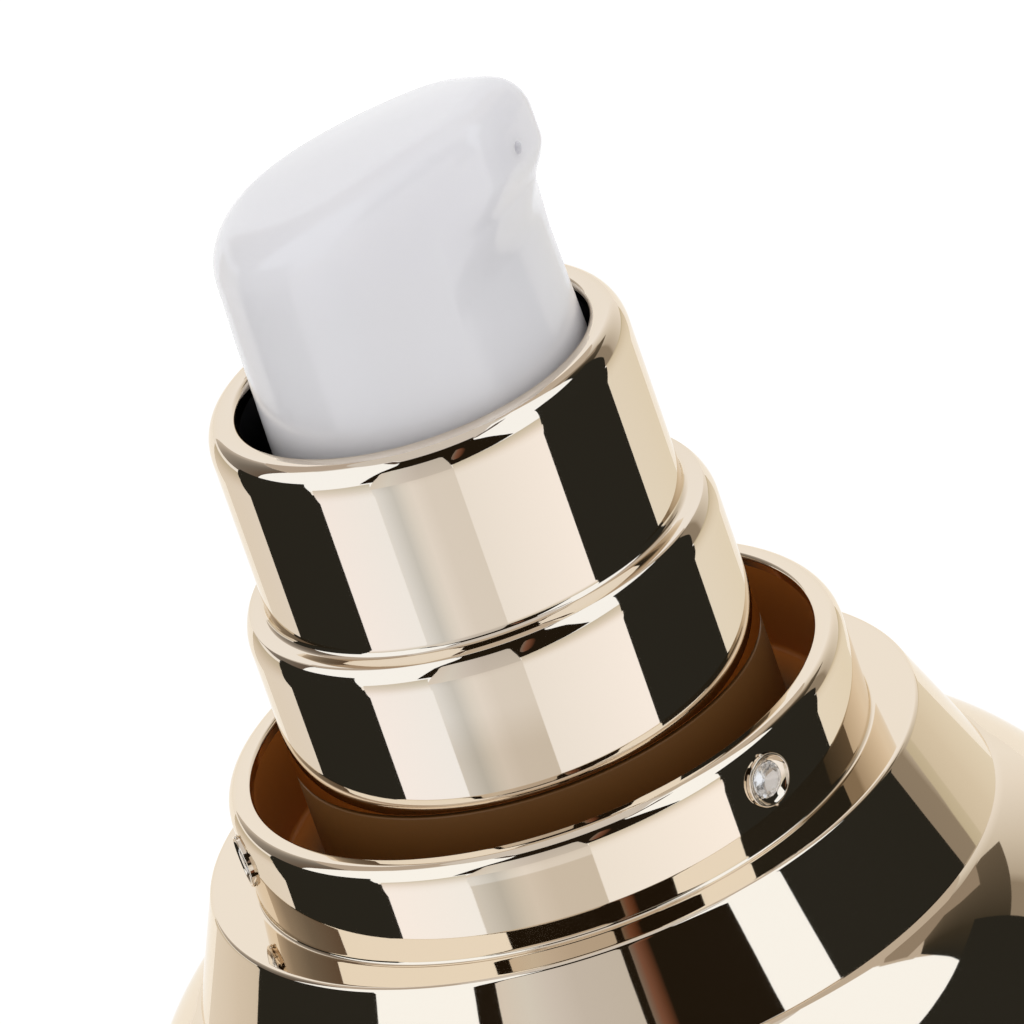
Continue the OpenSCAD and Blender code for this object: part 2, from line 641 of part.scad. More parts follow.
// Skin of the head: one ring of points per level up the wall, round the edge and across the top
module head_skin() {
    around = 90;
    wall_n = 20;
    edge_n = 6;
    top_n = 3;
    function edge_low_z(a) = top_z(a, beak_r(a)) - head_round_r;
    // Heights up the wall are closest together where the arch lies
    function wall_z(a, k) = let (t = k / wall_n, bottom = skirt_z, knee = rim_z + arch_foot_h - 0.8 * cove_h)
        t < 0.25 ? bottom + (knee - bottom) * t / 0.25 : knee + (edge_low_z(a) - knee) * (t - 0.25) / 0.75;
    function wall_point(a, k) = let (z = wall_z(a, k), r = wall_r(a, z)) [r * cos(a), r * sin(a), z];
    function edge_point(a, k) =
        let (b = 90 * k / edge_n, low = edge_low_z(a), rim = wall_r(a, low),
            r = rim - head_round_r * (1 - cos(b)))
        [r * cos(a), r * sin(a), top_z(a, r) - (1 - sin(b)) * (top_z(a, rim) - low)];
    function top_point(a, k) =
        let (low = edge_low_z(a), r = (wall_r(a, low) - head_round_r) * (1 - k / (top_n + 1)))
        [r * cos(a), r * sin(a), top_z(a, r)];
    rings = concat(
        [for (k = [0:wall_n]) [for (i = [0:around - 1]) wall_point(angle(i), k)]],
        [for (k = [1:edge_n]) [for (i = [0:around - 1]) edge_point(angle(i), k)]],
        [for (k = [1:top_n]) [for (i = [0:around - 1]) top_point(angle(i), k)]]
    );
    function angle(i) = let (a = 360 * i / around) a > 180 ? a - 360 : a;
    levels = len(rings);
    points = concat([for (r = rings) each r], [[0, 0, skirt_z], [0, 0, head_top_z]]);
    base = levels * around;
    faces = concat(
        [for (k = [0:levels - 2]) for (i = [0:around - 1])
            let (a = k * around + i, b = k * around + (i + 1) % around) [a, a + around, b + around]],
        [for (k = [0:levels - 2]) for (i = [0:around - 1])
            let (a = k * around + i, b = k * around + (i + 1) % around) [a, b + around, b]],
        [for (i = [0:around - 1]) [base, i, (i + 1) % around]],
        [for (i = [0:around - 1])
            let (a = (levels - 1) * around + i, b = (levels - 1) * around + (i + 1) % around) [base + 1, b, a]]
    );
    translate([head_offset, 0, 0]) polyhedron(points, faces);
}

// Press head: moulded skin, hollow skirt, boss on the stem, and a channel that rises to the outlet
module actuator() {
    channel_a = atan(head_slope);
    face_x = head_offset + nozzle_reach;
    start_z = outlet_z - head_slope * face_x;
    color(WHITE) difference() {
        union() {
            difference() {
                head_skin();
                translate([0, 0, skirt_z - 1])
                    cylinder(r = head_bore_r, h = head_ceiling_z - skirt_z + 1, $fn = 96);
            }
            translate([0, 0, head_boss_z])
                cylinder(r = head_boss_r, h = head_ceiling_z - head_boss_z + 0.5, $fn = 64);
        }
        translate([0, 0, head_boss_z - 1])
            cylinder(r = stem_r + seat_gap, h = stem_top_z - head_boss_z + 1 + seat_gap, $fn = 64);
        translate([0, 0, stem_top_z - 0.5])
            cylinder(r = stem_bore_r, h = start_z - stem_top_z + 0.5, $fn = 32);
        translate([0, 0, start_z]) rotate([0, 90 - channel_a, 0])
            cylinder(r = outlet_r, h = face_x / cos(channel_a) + outlet_r, $fn = 32);
    }
}

body_shell();
inner_bottle();
shoulder();
setting(0);  // setting_1
setting(1);  // setting_2
setting(2);  // setting_3
rhinestone(0);  // rhinestone_1
rhinestone(1);  // rhinestone_2
rhinestone(2);  // rhinestone_3
collar_sleeve();
screw_closure();
neck_gasket();
pump_housing();
stem_guide();
dip_tube();
return_spring();
inlet_ball();
piston();
piston_rod();
stem();
actuator();
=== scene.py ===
# %% [markdown]
# # Pump oil bottle, dressed for the camera
# The object is a 30 ml bottle for massage oil: a mirror-bright champagne shell, a shoulder with a stone-set
# ring, a two-step collar and a white press head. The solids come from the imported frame, and this script
# gives them finished surfaces, materials and light. All sizes below are in millimetres; the helpers turn
# them into metres.

# %% Frame and tools
import bmesh
import bpy
import math
import numpy as np
from mathutils import Matrix, Vector


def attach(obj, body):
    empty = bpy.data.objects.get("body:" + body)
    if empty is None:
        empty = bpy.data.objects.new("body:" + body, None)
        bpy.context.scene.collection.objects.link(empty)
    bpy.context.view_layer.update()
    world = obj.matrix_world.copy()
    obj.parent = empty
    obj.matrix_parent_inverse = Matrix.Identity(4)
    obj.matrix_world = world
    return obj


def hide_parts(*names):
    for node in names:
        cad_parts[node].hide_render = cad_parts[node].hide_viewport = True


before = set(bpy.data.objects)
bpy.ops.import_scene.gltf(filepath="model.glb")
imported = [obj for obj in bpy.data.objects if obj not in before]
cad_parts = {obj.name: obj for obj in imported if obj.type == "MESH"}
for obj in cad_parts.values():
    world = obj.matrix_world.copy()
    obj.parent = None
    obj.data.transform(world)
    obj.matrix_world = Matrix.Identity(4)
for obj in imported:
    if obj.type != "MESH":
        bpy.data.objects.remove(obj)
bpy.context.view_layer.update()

# %% [markdown]
# ## Levels and radii
# A bottle of this kind is a stack of turned parts, so a few levels and radii describe it. They could be
# read back from the solids, but written here they can be read beside the shapes that use them. They are the
# solids' own sizes, apart from 0.17 mm at the boss and at the stones' height, where the finished look needs
# it.

# %% Sizes
# Body: joint with the shoulder, widest radius, round of its top and bore
JOINT_Z, JOINT_R, BELLY_R, BODY_ROUND, CAVITY_R = 48.2, 19.6, 25.15, 13.0, 17.95
# Shoulder: ledge, upstanding ring and the ring's oval crown
LEDGE_Z, LEDGE_R, RING_R, RING_BORE_R, RING_Z = 53.65, 17.35, 15.1, 13.8, 58.6
CROWN_W, CROWN_H = 0.75, 1.0
# Inside of the shoulder: groove floor, deck, boss and its hole for the neck
GROOVE_Z, DECK_Z, BOSS_R, BOSS_Z, NECK_HOLE_R = 53.5, 52.2, 11.47, 59.25, 10.0
# Collar: lower edge, foot of the upper barrel, rim, two radii and the rim's bore
COLLAR_Z, BARREL_Z, RIM_Z, LOW_R, UP_R, RIM_BORE_R = 59.4, 67.57, 77.0, 11.5, 10.2, 8.55
# Neck and its thread: radius over the wall, rise per turn, foot and number of turns
NECK_R, PITCH, THREAD_Z, THREAD_TURNS = 8.95, 3.175, 60.6, 1.5
# Stones: bearings round the ring, height, radii of cup and stone, and how far the cup stands out
STONES = (-17.0, 103.0, 223.0)
STONE_Z, SETTING_R, STONE_R, PROUD = 56.52, 1.28, 0.86, 0.2
print("gap between the ring's crown and the collar, mm:", round(COLLAR_Z - RING_Z, 2))

# %% [markdown]
# ## Surfaces from grids
# Every piece here is a moulding or a turned part. It could be modelled by hand from cylinders, but a mirror
# finish shows every uneven edge loop, so each surface is worked out as a grid of points. Each grid becomes
# quads; points that meet are welded, so seams and poles close by themselves, and edges sharper than 30
# degrees are kept crisp.

# %% Grid helper
def solid(name, patches, slots=None):
    """One mesh from (grid, slot) patches; a grid is rows x columns x 3 in mm. Equal points are welded."""
    corners, face_slots = [], []
    for grid, slot_index in patches:
        a, b, c, d = grid[:-1, :-1], grid[:-1, 1:], grid[1:, 1:], grid[1:, :-1]
        quads = np.stack([a, b, c, d], axis=2).reshape(-1, 4, 3)
        corners.append(quads)
        face_slots.append(np.full(len(quads), slot_index))
    corners, face_slots = np.concatenate(corners), np.concatenate(face_slots)
    keys = np.round(corners.reshape(-1, 3) * 1e4).astype(np.int64)
    first, index = np.unique(keys, axis=0, return_index=True, return_inverse=True)[1:]
    points = corners.reshape(-1, 3)[first] * 0.001
    faces, kept = [], []
    for face, slot_index in zip(index.reshape(-1, 4).tolist(), face_slots.tolist()):
        ring = [v for k, v in enumerate(face) if v != face[k - 1]]
        if len(set(ring)) == len(ring) >= 3:
            faces.append(ring)
            kept.append(slot_index)
    mesh = bpy.data.meshes.new(name)
    mesh.from_pydata(points.tolist(), [], faces)
    mesh.polygons.foreach_set("material_index", np.array(kept, np.int32))
    piece = bpy.data.objects.new(name, mesh)
    bpy.context.scene.collection.objects.link(piece)
    finish_mesh(piece)
    return piece


def finish_mesh(piece, angle=30):
    """Outward normals, smooth shading and crisp edges where faces meet at more than the angle."""
    bm = bmesh.new()
    bm.from_mesh(piece.data)
    bmesh.ops.recalc_face_normals(bm, faces=bm.faces)
    bm.to_mesh(piece.data)
    bm.free()
    piece.data.shade_smooth()
    piece.data.set_sharp_from_angle(angle=math.radians(angle))


# %% [markdown]
# ## Rounded outlines
# No real moulding or pressing has a perfectly sharp edge, and on a mirror finish the small rounds are what
# catches the light. An outline is a list of (radius, height, rounding) corners; each corner becomes an arc,
# with a support point beside it so that the flats stay flat in the reflection. A corner with two lengths
# becomes a quarter oval that leaves its two sides that far from the corner, as spun and plated edges often
# do.

# %% Outline helper
def outline(corners, closed=True, steps=8):
    """Points of a polygon whose corners are cut back by rounding x tan(turn / 2) and replaced by arcs."""
    p = np.array([c[:2] for c in corners], float)
    made = []
    for k, corner in enumerate(corners):
        size = corner[2] if len(corner) > 2 else 0.0
        inside = closed or 0 < k < len(corners) - 1
        if not size or not inside:
            made.append(p[k])
            continue
        u = p[k - 1] - p[k]
        v = p[(k + 1) % len(p)] - p[k]
        lu, lv = np.linalg.norm(u), np.linalg.norm(v)
        u, v = u / lu, v / lv
        if len(corner) == 4:
            before, after = u * corner[2], v * corner[3]
            made.append(p[k] + before + 0.05 * u)
            for t in np.linspace(0, math.pi / 2, 2 * steps + 1):
                made.append(p[k] + before * (1 - math.sin(t)) + after * (1 - math.cos(t)))
            made.append(p[k] + after + 0.05 * v)
            continue
        half = math.acos(np.clip(u @ v, -1, 1)) / 2
        cut = min(size / math.tan(half), 0.48 * lu, 0.48 * lv)
        size = cut * math.tan(half)
        centre = p[k] + (u + v) / np.linalg.norm(u + v) * size / math.sin(half)
        start, end = p[k] + u * cut, p[k] + v * cut
        turn = math.pi - 2 * half
        d, far = start - centre, end - centre
        side = math.copysign(1, d[0] * far[1] - d[1] * far[0])
        extra = min(0.05, 0.2 * cut)
        made.append(start + u * extra)
        for i in range(steps + 1):
            a = side * turn * i / steps
            c, s = math.cos(a), math.sin(a)
            made.append(centre + np.array([c * d[0] - s * d[1], s * d[0] + c * d[1]]))
        made.append(end + v * extra)
    return np.array(made)


def arc(centre, radius, low, high, steps):
    """Points of an arc in the outline's plane, with angles in degrees from the outward direction."""
    a = np.radians(np.linspace(low, high, steps + 1))
    return [(centre[0] + radius * math.cos(t), centre[1] + radius * math.sin(t)) for t in a]


def turn_grid(points, columns=256, first=0.0):
    """Grid of an outline turned about the bottle's axis: x = r cos a, y = r sin a."""
    points = np.asarray(points, float)
    a = math.radians(first) + np.arange(columns + 1) * 2 * math.pi / columns
    a[-1] = a[0]
    r, z = points[:, 0, None], points[:, 1, None]
    return np.stack([r * np.cos(a), r * np.sin(a), z + 0 * a], axis=2)


def closed(points):
    """The outline with its first point repeated at the end."""
    return np.vstack([points, points[:1]])


# %% [markdown]
# ## Gold body
# The real body is a thick acrylic jar, metallised and lacquered. It could be a lathe curve with a few
# handles, but true arcs keep the mirrored lines even, so its outline is a heel, a long barrel curve and a
# round top, and it is turned about the axis.

# %% Body
HEEL_R, BARREL_R, FLOOR_Z = 4.0, 245.0, 5.5
FOOT = [(0, 0.8), (12.9, 0.8), (13.15, 0.78), (13.4, 0.6), (13.85, 0.15), (14.0, 0.03), (14.2, 0.0)]


def body_outline():
    """Foot hollow, heel round, barrel curve and round shoulder up to the joint, then the straight cavity."""
    belly_z = JOINT_Z - math.sqrt(BODY_ROUND ** 2 - (JOINT_R - BELLY_R + BODY_ROUND) ** 2)
    barrel_x = BELLY_R - BARREL_R
    heel_x = barrel_x + math.sqrt((BARREL_R - HEEL_R) ** 2 - (belly_z - HEEL_R) ** 2)
    heel_a = -math.degrees(math.asin((belly_z - HEEL_R) / (BARREL_R - HEEL_R)))
    top_a = math.degrees(math.acos((JOINT_R - BELLY_R + BODY_ROUND) / BODY_ROUND))
    heel = arc((heel_x, HEEL_R), HEEL_R, -90, heel_a, 16)
    barrel = arc((barrel_x, belly_z), BARREL_R, heel_a * 0.96, 0, 24)
    top = arc((BELLY_R - BODY_ROUND, belly_z), BODY_ROUND, top_a / 40, top_a - 0.45, 40)
    edge = [(JOINT_R - 0.015, JOINT_Z - 0.02), (JOINT_R - 0.045, JOINT_Z), (JOINT_R - 0.3, JOINT_Z)]
    return FOOT + heel + barrel + top + edge + [(CAVITY_R, JOINT_Z), (CAVITY_R, FLOOR_Z), (0, FLOOR_Z)]


body = solid("body_gold", [(turn_grid(body_outline(), 288), 0)])
print("body points:", len(body.data.vertices))

# %% [markdown]
# ## Shoulder
# One gold moulding carries the cone, the ledge and the upstanding ring. Its inside was masked during
# plating, so the groove shows the bare amber plastic. The ring's wall has three drilled seats. They could
# be cut with a boolean, but its long thin triangles would show as kinks in a mirror, so the wall is meshed
# as a band, and each seat is a patch of that band whose rings of points go from a square to a circle.
#
# The ledge rises slightly outwards. Wall and ledge mirror each other, and this rise is what parts the two
# dark lines at the ring's foot.

# %% Shoulder with three drilled seats
COLUMNS, PATCH = 288, 12
LEDGE_IN_Z, LEDGE_OUT_Z = LEDGE_Z - 0.08, LEDGE_Z + 0.07
BAND_LOW, BAND_HIGH, PLATING_END = 54.0, 57.94, 58.02


def wall_point(angle, height):
    """Point on the ring's outer wall, whose top leans in with the crown's oval."""
    lean = np.clip((height - RING_Z + CROWN_H) / CROWN_H, 0, 1)
    r = RING_R - CROWN_W * (1 - np.sqrt(1 - lean ** 2))
    return np.stack([r * np.cos(angle), r * np.sin(angle), height + 0 * angle], axis=-1)


def seat_patch(centre, low, high, radius, depth):
    """Patch round one seat: square edge to circle on the wall, then down to the middle of the seat's floor."""
    side = np.linspace(-1, 1, PATCH + 1)
    square = [(t, -1) for t in side[:-1]] + [(1, t) for t in side[:-1]]
    square += [(t, 1) for t in side[:0:-1]] + [(-1, t) for t in side[:0:-1]] + [(-1, -1)]
    square = np.array(square)
    half_a = math.radians(360 / COLUMNS * PATCH / 2)
    middle, half_z = (low + high) / 2, (high - low) / 2
    outer = square * [half_a, half_z]
    bearing = np.arctan2(square[:, 1] * half_z, square[:, 0] * half_a * RING_R)
    u, v = radius * np.cos(bearing), radius * np.sin(bearing) + STONE_Z - middle
    inner = np.stack([np.arcsin(u / RING_R), v], axis=1)
    a0 = math.radians(centre)
    rows = []
    for t in np.linspace(0, 1, 7):
        mixed = outer * (1 - t) + inner * t
        rows.append(wall_point(a0 + mixed[:, 0], middle + mixed[:, 1]))
    out = np.array([math.cos(a0), math.sin(a0), 0])
    across = np.array([-math.sin(a0), math.cos(a0), 0])
    up = np.array([0, 0, 1.0])
    for level, share in ((RING_R - 0.45, 1), (RING_R - depth, 1), (RING_R - depth, 0.5), (RING_R - depth, 0)):
        height = STONE_Z + share * radius * np.sin(bearing)
        rows.append(level * out + (share * u)[:, None] * across + height[:, None] * up)
    return np.stack(rows)


def shoulder_piece():
    """Gold outside in slot 0 and amber inside in slot 1, split just inside the ring's rim."""
    plug_r, bore_r = CAVITY_R - 0.05, CAVITY_R - 1.35
    gold = outline([(plug_r, JOINT_Z + 0.02), (JOINT_R, JOINT_Z + 0.02, 0.03), (LEDGE_R, LEDGE_OUT_Z, 0.3),
                    (RING_R, LEDGE_IN_Z, 0.25), (RING_R, BAND_LOW)], closed=False)
    start = math.asin((BAND_HIGH - RING_Z + CROWN_H) / CROWN_H)
    oval = [(RING_R - CROWN_W * (1 - math.cos(t)), RING_Z - CROWN_H * (1 - math.sin(t)))
            for t in np.linspace(start, math.pi / 2, 14)]
    inner_edge = outline([oval[-1], (RING_BORE_R, RING_Z, 0.3), (RING_BORE_R, PLATING_END)], closed=False)
    crown = np.vstack([oval, inner_edge[1:]])
    amber = outline([(RING_BORE_R, PLATING_END), (RING_BORE_R, GROOVE_Z, 0.25), (BOSS_R, GROOVE_Z, 0.25),
                     (BOSS_R, BOSS_Z, 0.08), (NECK_HOLE_R, BOSS_Z, 0.05), (NECK_HOLE_R, DECK_Z),
                     (bore_r - 1.2, DECK_Z, 0.4), (bore_r, JOINT_Z + 1, 0.5), (bore_r, JOINT_Z - 4.5, 0.1),
                     (plug_r, JOINT_Z - 4.5, 0.1), (plug_r, JOINT_Z + 0.02)], closed=False)
    first = STONES[0] - 360 / COLUMNS * PATCH / 2
    patches = [(turn_grid(gold, COLUMNS, first), 0), (turn_grid(crown, COLUMNS, first), 0),
               (turn_grid(amber, COLUMNS, first), 1)]
    heights = np.linspace(BAND_LOW, BAND_HIGH, PATCH + 1)
    third = COLUMNS // 3
    for stone in STONES:
        start = math.radians(stone - 360 / COLUMNS * PATCH / 2)
        steps = np.arange(PATCH, third + 1) * 2 * math.pi / COLUMNS
        band = np.stack([wall_point(start + steps, z) for z in heights])
        patches += [(band, 0), (seat_patch(stone, BAND_LOW, BAND_HIGH, SETTING_R + 0.02, 0.9), 0)]
    return solid("shoulder_moulding", patches)


shoulder = shoulder_piece()
print("shoulder points:", len(shoulder.data.vertices))

# %% [markdown]
# ## Collar
# A two-step sleeve, drawn and spun from thin metal: a plain lower edge, a step with a soft shoulder and a
# hollow foot where the upper barrel starts, and a rolled rim. The step could be one fillet, but a spun edge
# isn't a true arc. It is a list of runs instead, each turning evenly from one slope to the next, because
# the slopes decide where a mirror finish shows its dark lines.

# %% Collar
# Runs of the step from the upper barrel down: length in mm, first and last slope in degrees
STEP = [(0.12, 0, 13), (0.16, 13, 42), (0.22, 42, 74), (0.27, 76, 82), (0.345, 80, 66), (0.03, 66, 40),
        (0.277, 39.5, 28), (0.55, 28, 14), (0.5, 14, 0)]
SLEEVE_BORE_R, SLEEVE_LOW_R, SLEEVE_STEP_Z, RIM_UNDER_Z = 9.7, 11.0, 66.45, 76.1


def turned(start, runs):
    """Outline going down from start; a run (length, first, last) turns evenly between two slopes."""
    r, z = start
    points = [start]
    for length, first, last in runs:
        for t in np.radians(first + (last - first) * (np.arange(8) + 0.5) / 8):
            r, z = r + math.sin(t) * length / 8, z - math.cos(t) * length / 8
            points.append((r, z))
    return points


def collar_outline():
    """Outer skin from the lower edge over the step and the rim, then back down inside at sheet thickness."""
    step = turned((UP_R, BARREL_Z), STEP)
    print("foot of the step, mm:", [round(x, 3) for x in step[-1]])
    step = [(min(r, LOW_R), z) for r, z in step[:-1]] + [(LOW_R, step[-1][1])]
    rim = [(UP_R, RIM_Z, 1.55, 1.0), (RIM_BORE_R, RIM_Z, 0.5), (RIM_BORE_R, RIM_UNDER_Z, 0.1)]
    inside = [(SLEEVE_BORE_R, RIM_UNDER_Z, 0.1), (SLEEVE_BORE_R, SLEEVE_STEP_Z),
              (SLEEVE_LOW_R, SLEEVE_STEP_Z, 0.2)]
    return outline([(SLEEVE_LOW_R, COLLAR_Z), (LOW_R, COLLAR_Z, 0.06)] + step[::-1] + rim + inside)


collar = solid("collar_gold", [(turn_grid(closed(collar_outline()), 288), 0)])
print("collar points:", len(collar.data.vertices))

# %% [markdown]
# ## Settings and stones
# Each stone sits in a small turned cup with a thin round lip and a dished face, and a claw bead stands
# above and below. The stone is a low round brilliant: table, eight crown mains, sixteen girdle facets and a
# pointed back that lies in the cup's cone. A plain sphere would be lighter, but only facets break the light
# as a cut stone does, and they are few enough to write as triangles.

# %% Settings and stones
LIP_R, BEAD_R, BEAD_AT = 0.065, 0.1, 1.3
TABLE_SHARE, GIRDLE_DROP, GIRDLE_H, BACK_DROP = 0.62, 0.16, 0.08, 0.66


def place_on_ring(piece, angle):
    """Moves the mesh's points from its own axis to the ring's wall: +Z outwards, +X down."""
    turn = Matrix.Rotation(math.radians(angle), 4, "Z")
    shift = Matrix.Translation((RING_R / 1000, 0, STONE_Z / 1000))
    piece.data.transform(turn @ shift @ Matrix.Rotation(math.radians(90), 4, "Y"))


def cup_outline():
    """Outline of the cup about its own axis: floor, wall, round lip, dished face and the stone's cone."""
    seat = STONE_R + 0.02
    round_lip = arc((SETTING_R - LIP_R, PROUD - LIP_R), LIP_R, 0, 150, 12)
    return ([(0, -0.88), (SETTING_R - 0.05, -0.88), (SETTING_R, -0.83)] + round_lip
            + [(seat + 0.08, PROUD - 0.2), (seat, PROUD - 0.22), (0, PROUD - 0.7)])


def bead_grid(x, radius, height):
    """Small ball standing on the wall beside the cup."""
    a, b = np.linspace(0, 2 * math.pi, 25), np.linspace(0, math.pi, 13)[:, None]
    a[-1] = 0
    return np.stack([x + radius * np.sin(b) * np.cos(a), radius * np.sin(b) * np.sin(a),
                     height + radius * np.cos(b) + 0 * a], axis=2)


def brilliant(name, radius):
    """Round brilliant as facets between a table octagon, a 16-point girdle and the back's tip."""
    eight, sixteen = np.arange(9) * math.pi / 4, np.arange(17) * math.pi / 8
    high = PROUD - 0.02
    wide, level = TABLE_SHARE * radius, PROUD - GIRDLE_DROP
    table = np.stack([wide * np.cos(eight), wide * np.sin(eight), high + 0 * eight], axis=1)
    girdle = np.stack([radius * np.cos(sixteen), radius * np.sin(sixteen), level + 0 * sixteen], axis=1)
    table[-1], girdle[-1] = table[0], girdle[0]
    low, tip, top = girdle - [0, 0, GIRDLE_H], np.array([0, 0, PROUD - BACK_DROP]), np.array([0, 0, high])
    tris = []
    for k in range(8):
        t0, t1, g0, g1, g2 = table[k], table[k + 1], girdle[2 * k], girdle[2 * k + 1], girdle[2 * k + 2]
        tris += [(t0, g0, g1), (t0, g1, t1), (t1, g1, g2), (top, t0, t1)]
    for k in range(16):
        g0, g1, l0, l1 = girdle[k], girdle[k + 1], low[k], low[k + 1]
        tris += [(g0, l0, l1), (g0, l1, g1), (l0, tip, l1)]
    grids = [(np.array([[a, b], [a, c]]), 0) for a, b, c in tris]
    return solid(name, grids)


settings, stones = [], []
for number, angle in enumerate(STONES, 1):
    beads = [(bead_grid(side * BEAD_AT, BEAD_R, BEAD_R - 0.01), 0) for side in (-1, 1)]
    setting = solid(f"setting_button_{number}", [(turn_grid(cup_outline(), 64), 0)] + beads)
    stone = brilliant(f"brilliant_{number}", STONE_R)
    stone.data.set_sharp_from_angle(angle=math.radians(3))
    for piece in (setting, stone):
        place_on_ring(piece, angle)
    settings.append(setting)
    stones.append(stone)
print("stones:", [s.name for s in stones])

# %% [markdown]
# ## Press head
# The white head takes the most skill. Its plan is a circle whose flanks run straight into a flat nozzle
# face; its top slopes up towards the nozzle and is crowned across it; under the nozzle the wall is a
# flatter panel that runs up through a soft cove and an arch into the nozzle. It could be sculpted or built
# from blended blocks. Formulas are used instead, because every blend is then smooth and can be set by one
# number: one gives the wall's radius for each angle and height, and another the top's height for each
# point. The skin's own axis lies half a millimetre in front of the stem's.

# %% Press head formulas
# Skin: offset from the stem, radius, wall's draft, height of the top on its axis, lower edge
OFFSET, HEAD_R, DRAFT, HEAD_Z, SKIRT_Z = 0.5, 7.57, math.tan(math.radians(1.2)), 88.45, 73.6
# Top: slope to the nozzle, crown across and along it, rounded edge
SLOPE, CROWN, SAG, EDGE = 0.294, 0.016, 0.002, 2.3
# Nozzle: reach, width of its face, sharpness of the face's corners
REACH, FACE_W, CORNER = 9.22, 5.1, 20.0
# Panel under the nozzle: half its angle, radius of its flatter arc; arch and cove above it
PANEL_A, PANEL_R = 36.0, 8.8
ARCH_FOOT, ARCH_RISE, ARCH_BLEND, COVE_H, COVE_SHARE = 83.2, 1.9, 2.1, 3.8, 0.6


def smooth(t):
    """Smooth step from 0 to 1."""
    t = np.clip(t, 0, 1)
    return t * t * (3 - 2 * t)


def beak_radius(a):
    """Circle with straight flanks to a flat face; a high-power soft minimum rounds the corners."""
    corner = math.atan2(FACE_W / 2, REACH)
    flank = corner + math.acos(HEAD_R / math.hypot(REACH, FACE_W / 2))
    b = np.minimum(np.abs(a), flank)
    face, side = REACH / np.cos(b), HEAD_R / np.cos(flank - b)
    return np.where(np.abs(a) < flank, (face ** -CORNER + side ** -CORNER) ** (-1 / CORNER), HEAD_R)


def panel_radius(a):
    """Flatter arc between the panel's two upright edges, the circle elsewhere."""
    half = math.radians(PANEL_A)
    inner = math.asin(HEAD_R * math.sin(half) / PANEL_R)
    back = PANEL_R * math.cos(inner) - HEAD_R * math.cos(half)
    b = np.clip(a, -half, half)
    flat = np.sqrt(PANEL_R ** 2 - (back * np.sin(b)) ** 2) - back * np.cos(b)
    return np.where(np.abs(a) < half, flat, HEAD_R)


def arch_height(a):
    """Height of the arch over the panel, flat outside it."""
    share = np.clip(np.abs(a) / math.radians(PANEL_A), 0, 1)
    return ARCH_FOOT + ARCH_RISE * np.sqrt(1 - share ** 3)


def wall_radius(a, z):
    """Panel, soft cove, arch and nozzle, with the wall's draft."""
    over = z - arch_height(a)
    cove = smooth((over + COVE_H - ARCH_BLEND / 2) / COVE_H)
    mix = COVE_SHARE * cove + (1 - COVE_SHARE) * smooth(over / ARCH_BLEND)
    return panel_radius(a) * (1 - mix) + beak_radius(a) * mix + (HEAD_Z - z) * DRAFT * (1 - mix / 2)


def top_height(a, r):
    """Sloping top, crowned across the nozzle's direction and slightly along it."""
    x, y = r * np.cos(a), r * np.sin(a)
    return HEAD_Z + SLOPE * x - CROWN * y ** 2 - SAG * x ** 2


# %% [markdown]
# The skin is a grid over angle and level: up the wall, round the edge and across the top. Angles are closer
# together round the nozzle, where the shape changes fast. Inside are the hollow skirt, the boss on the stem
# and its bore. The outlet is one round hole in an almost flat face, so a boolean is the simplest way to
# drill it.

# %% Press head mesh
# Inside: skirt's wall and hollow, boss round the stem, stem's bore
SKIRT_WALL, HOLLOW_Z, HUB_R, HUB_Z, STEM_BORE_R, STEM_TOP_Z = 1.5, 83.67, 3.3, 75.7, 2.02, 81.02
LIP = 0.15


def head_piece():
    """Outer skin, skirt's hollow and boss as one closed mesh, with the outlet cut afterwards."""
    dense = np.linspace(-1, 1, 321)
    a = np.sign(dense) * np.abs(dense) ** 1.25 * math.pi
    a[-1] = a[0]
    low = top_height(a, beak_radius(a)) - EDGE
    knee = ARCH_FOOT - COVE_H + 0.6
    rows = []
    for t in np.linspace(0, 1, 7)[:-1]:
        z = SKIRT_Z + LIP + (knee - SKIRT_Z - LIP) * t + 0 * a
        rows.append((wall_radius(a, z), z))
    for t in np.linspace(0, 1, 72):
        z = knee + (low - knee) * t
        rows.append((wall_radius(a, z), z))
    rim, top_at_rim = rows[-1][0], top_height(a, rows[-1][0])
    for b in np.linspace(0, math.pi / 2, 21)[1:]:
        r = rim - EDGE * (1 - math.cos(b))
        rows.append((r, top_height(a, r) - (top_at_rim - low) * (1 - math.sin(b))))
    for t in np.linspace(0, 1, 25)[1:]:
        r = (rim - EDGE) * (1 - t)
        rows.append((r, top_height(a, r)))
    skin = np.stack([np.stack([OFFSET + r * np.cos(a), r * np.sin(a), z + 0 * a], axis=1) for r, z in rows])
    foot_r, bore = wall_radius(a, SKIRT_Z + 0 * a), HEAD_R - SKIRT_WALL
    lip = []
    for r, h in ((bore, LIP), (bore + 0.1, 0.03), (bore + 0.2, 0.0)):
        lip.append(np.stack([r * np.cos(a), r * np.sin(a), SKIRT_Z + h + 0 * a], axis=1))
    for cut, h in ((0.15, 0.0), (0.04, 0.04)):
        r = foot_r - cut
        lip.append(np.stack([OFFSET + r * np.cos(a), r * np.sin(a), SKIRT_Z + h + 0 * a], axis=1))
    lip.append(skin[0])
    hollow = [(bore, SKIRT_Z + LIP), (bore, HOLLOW_Z), (HUB_R, HOLLOW_Z), (HUB_R, HUB_Z), (STEM_BORE_R, HUB_Z),
              (STEM_BORE_R, STEM_TOP_Z), (0, STEM_TOP_Z)]
    inner = np.stack([np.stack([r * np.cos(a), r * np.sin(a), z + 0 * a], axis=1) for r, z in hollow])
    return solid("press_head", [(skin, 0), (np.stack(lip), 0), (inner, 0)])


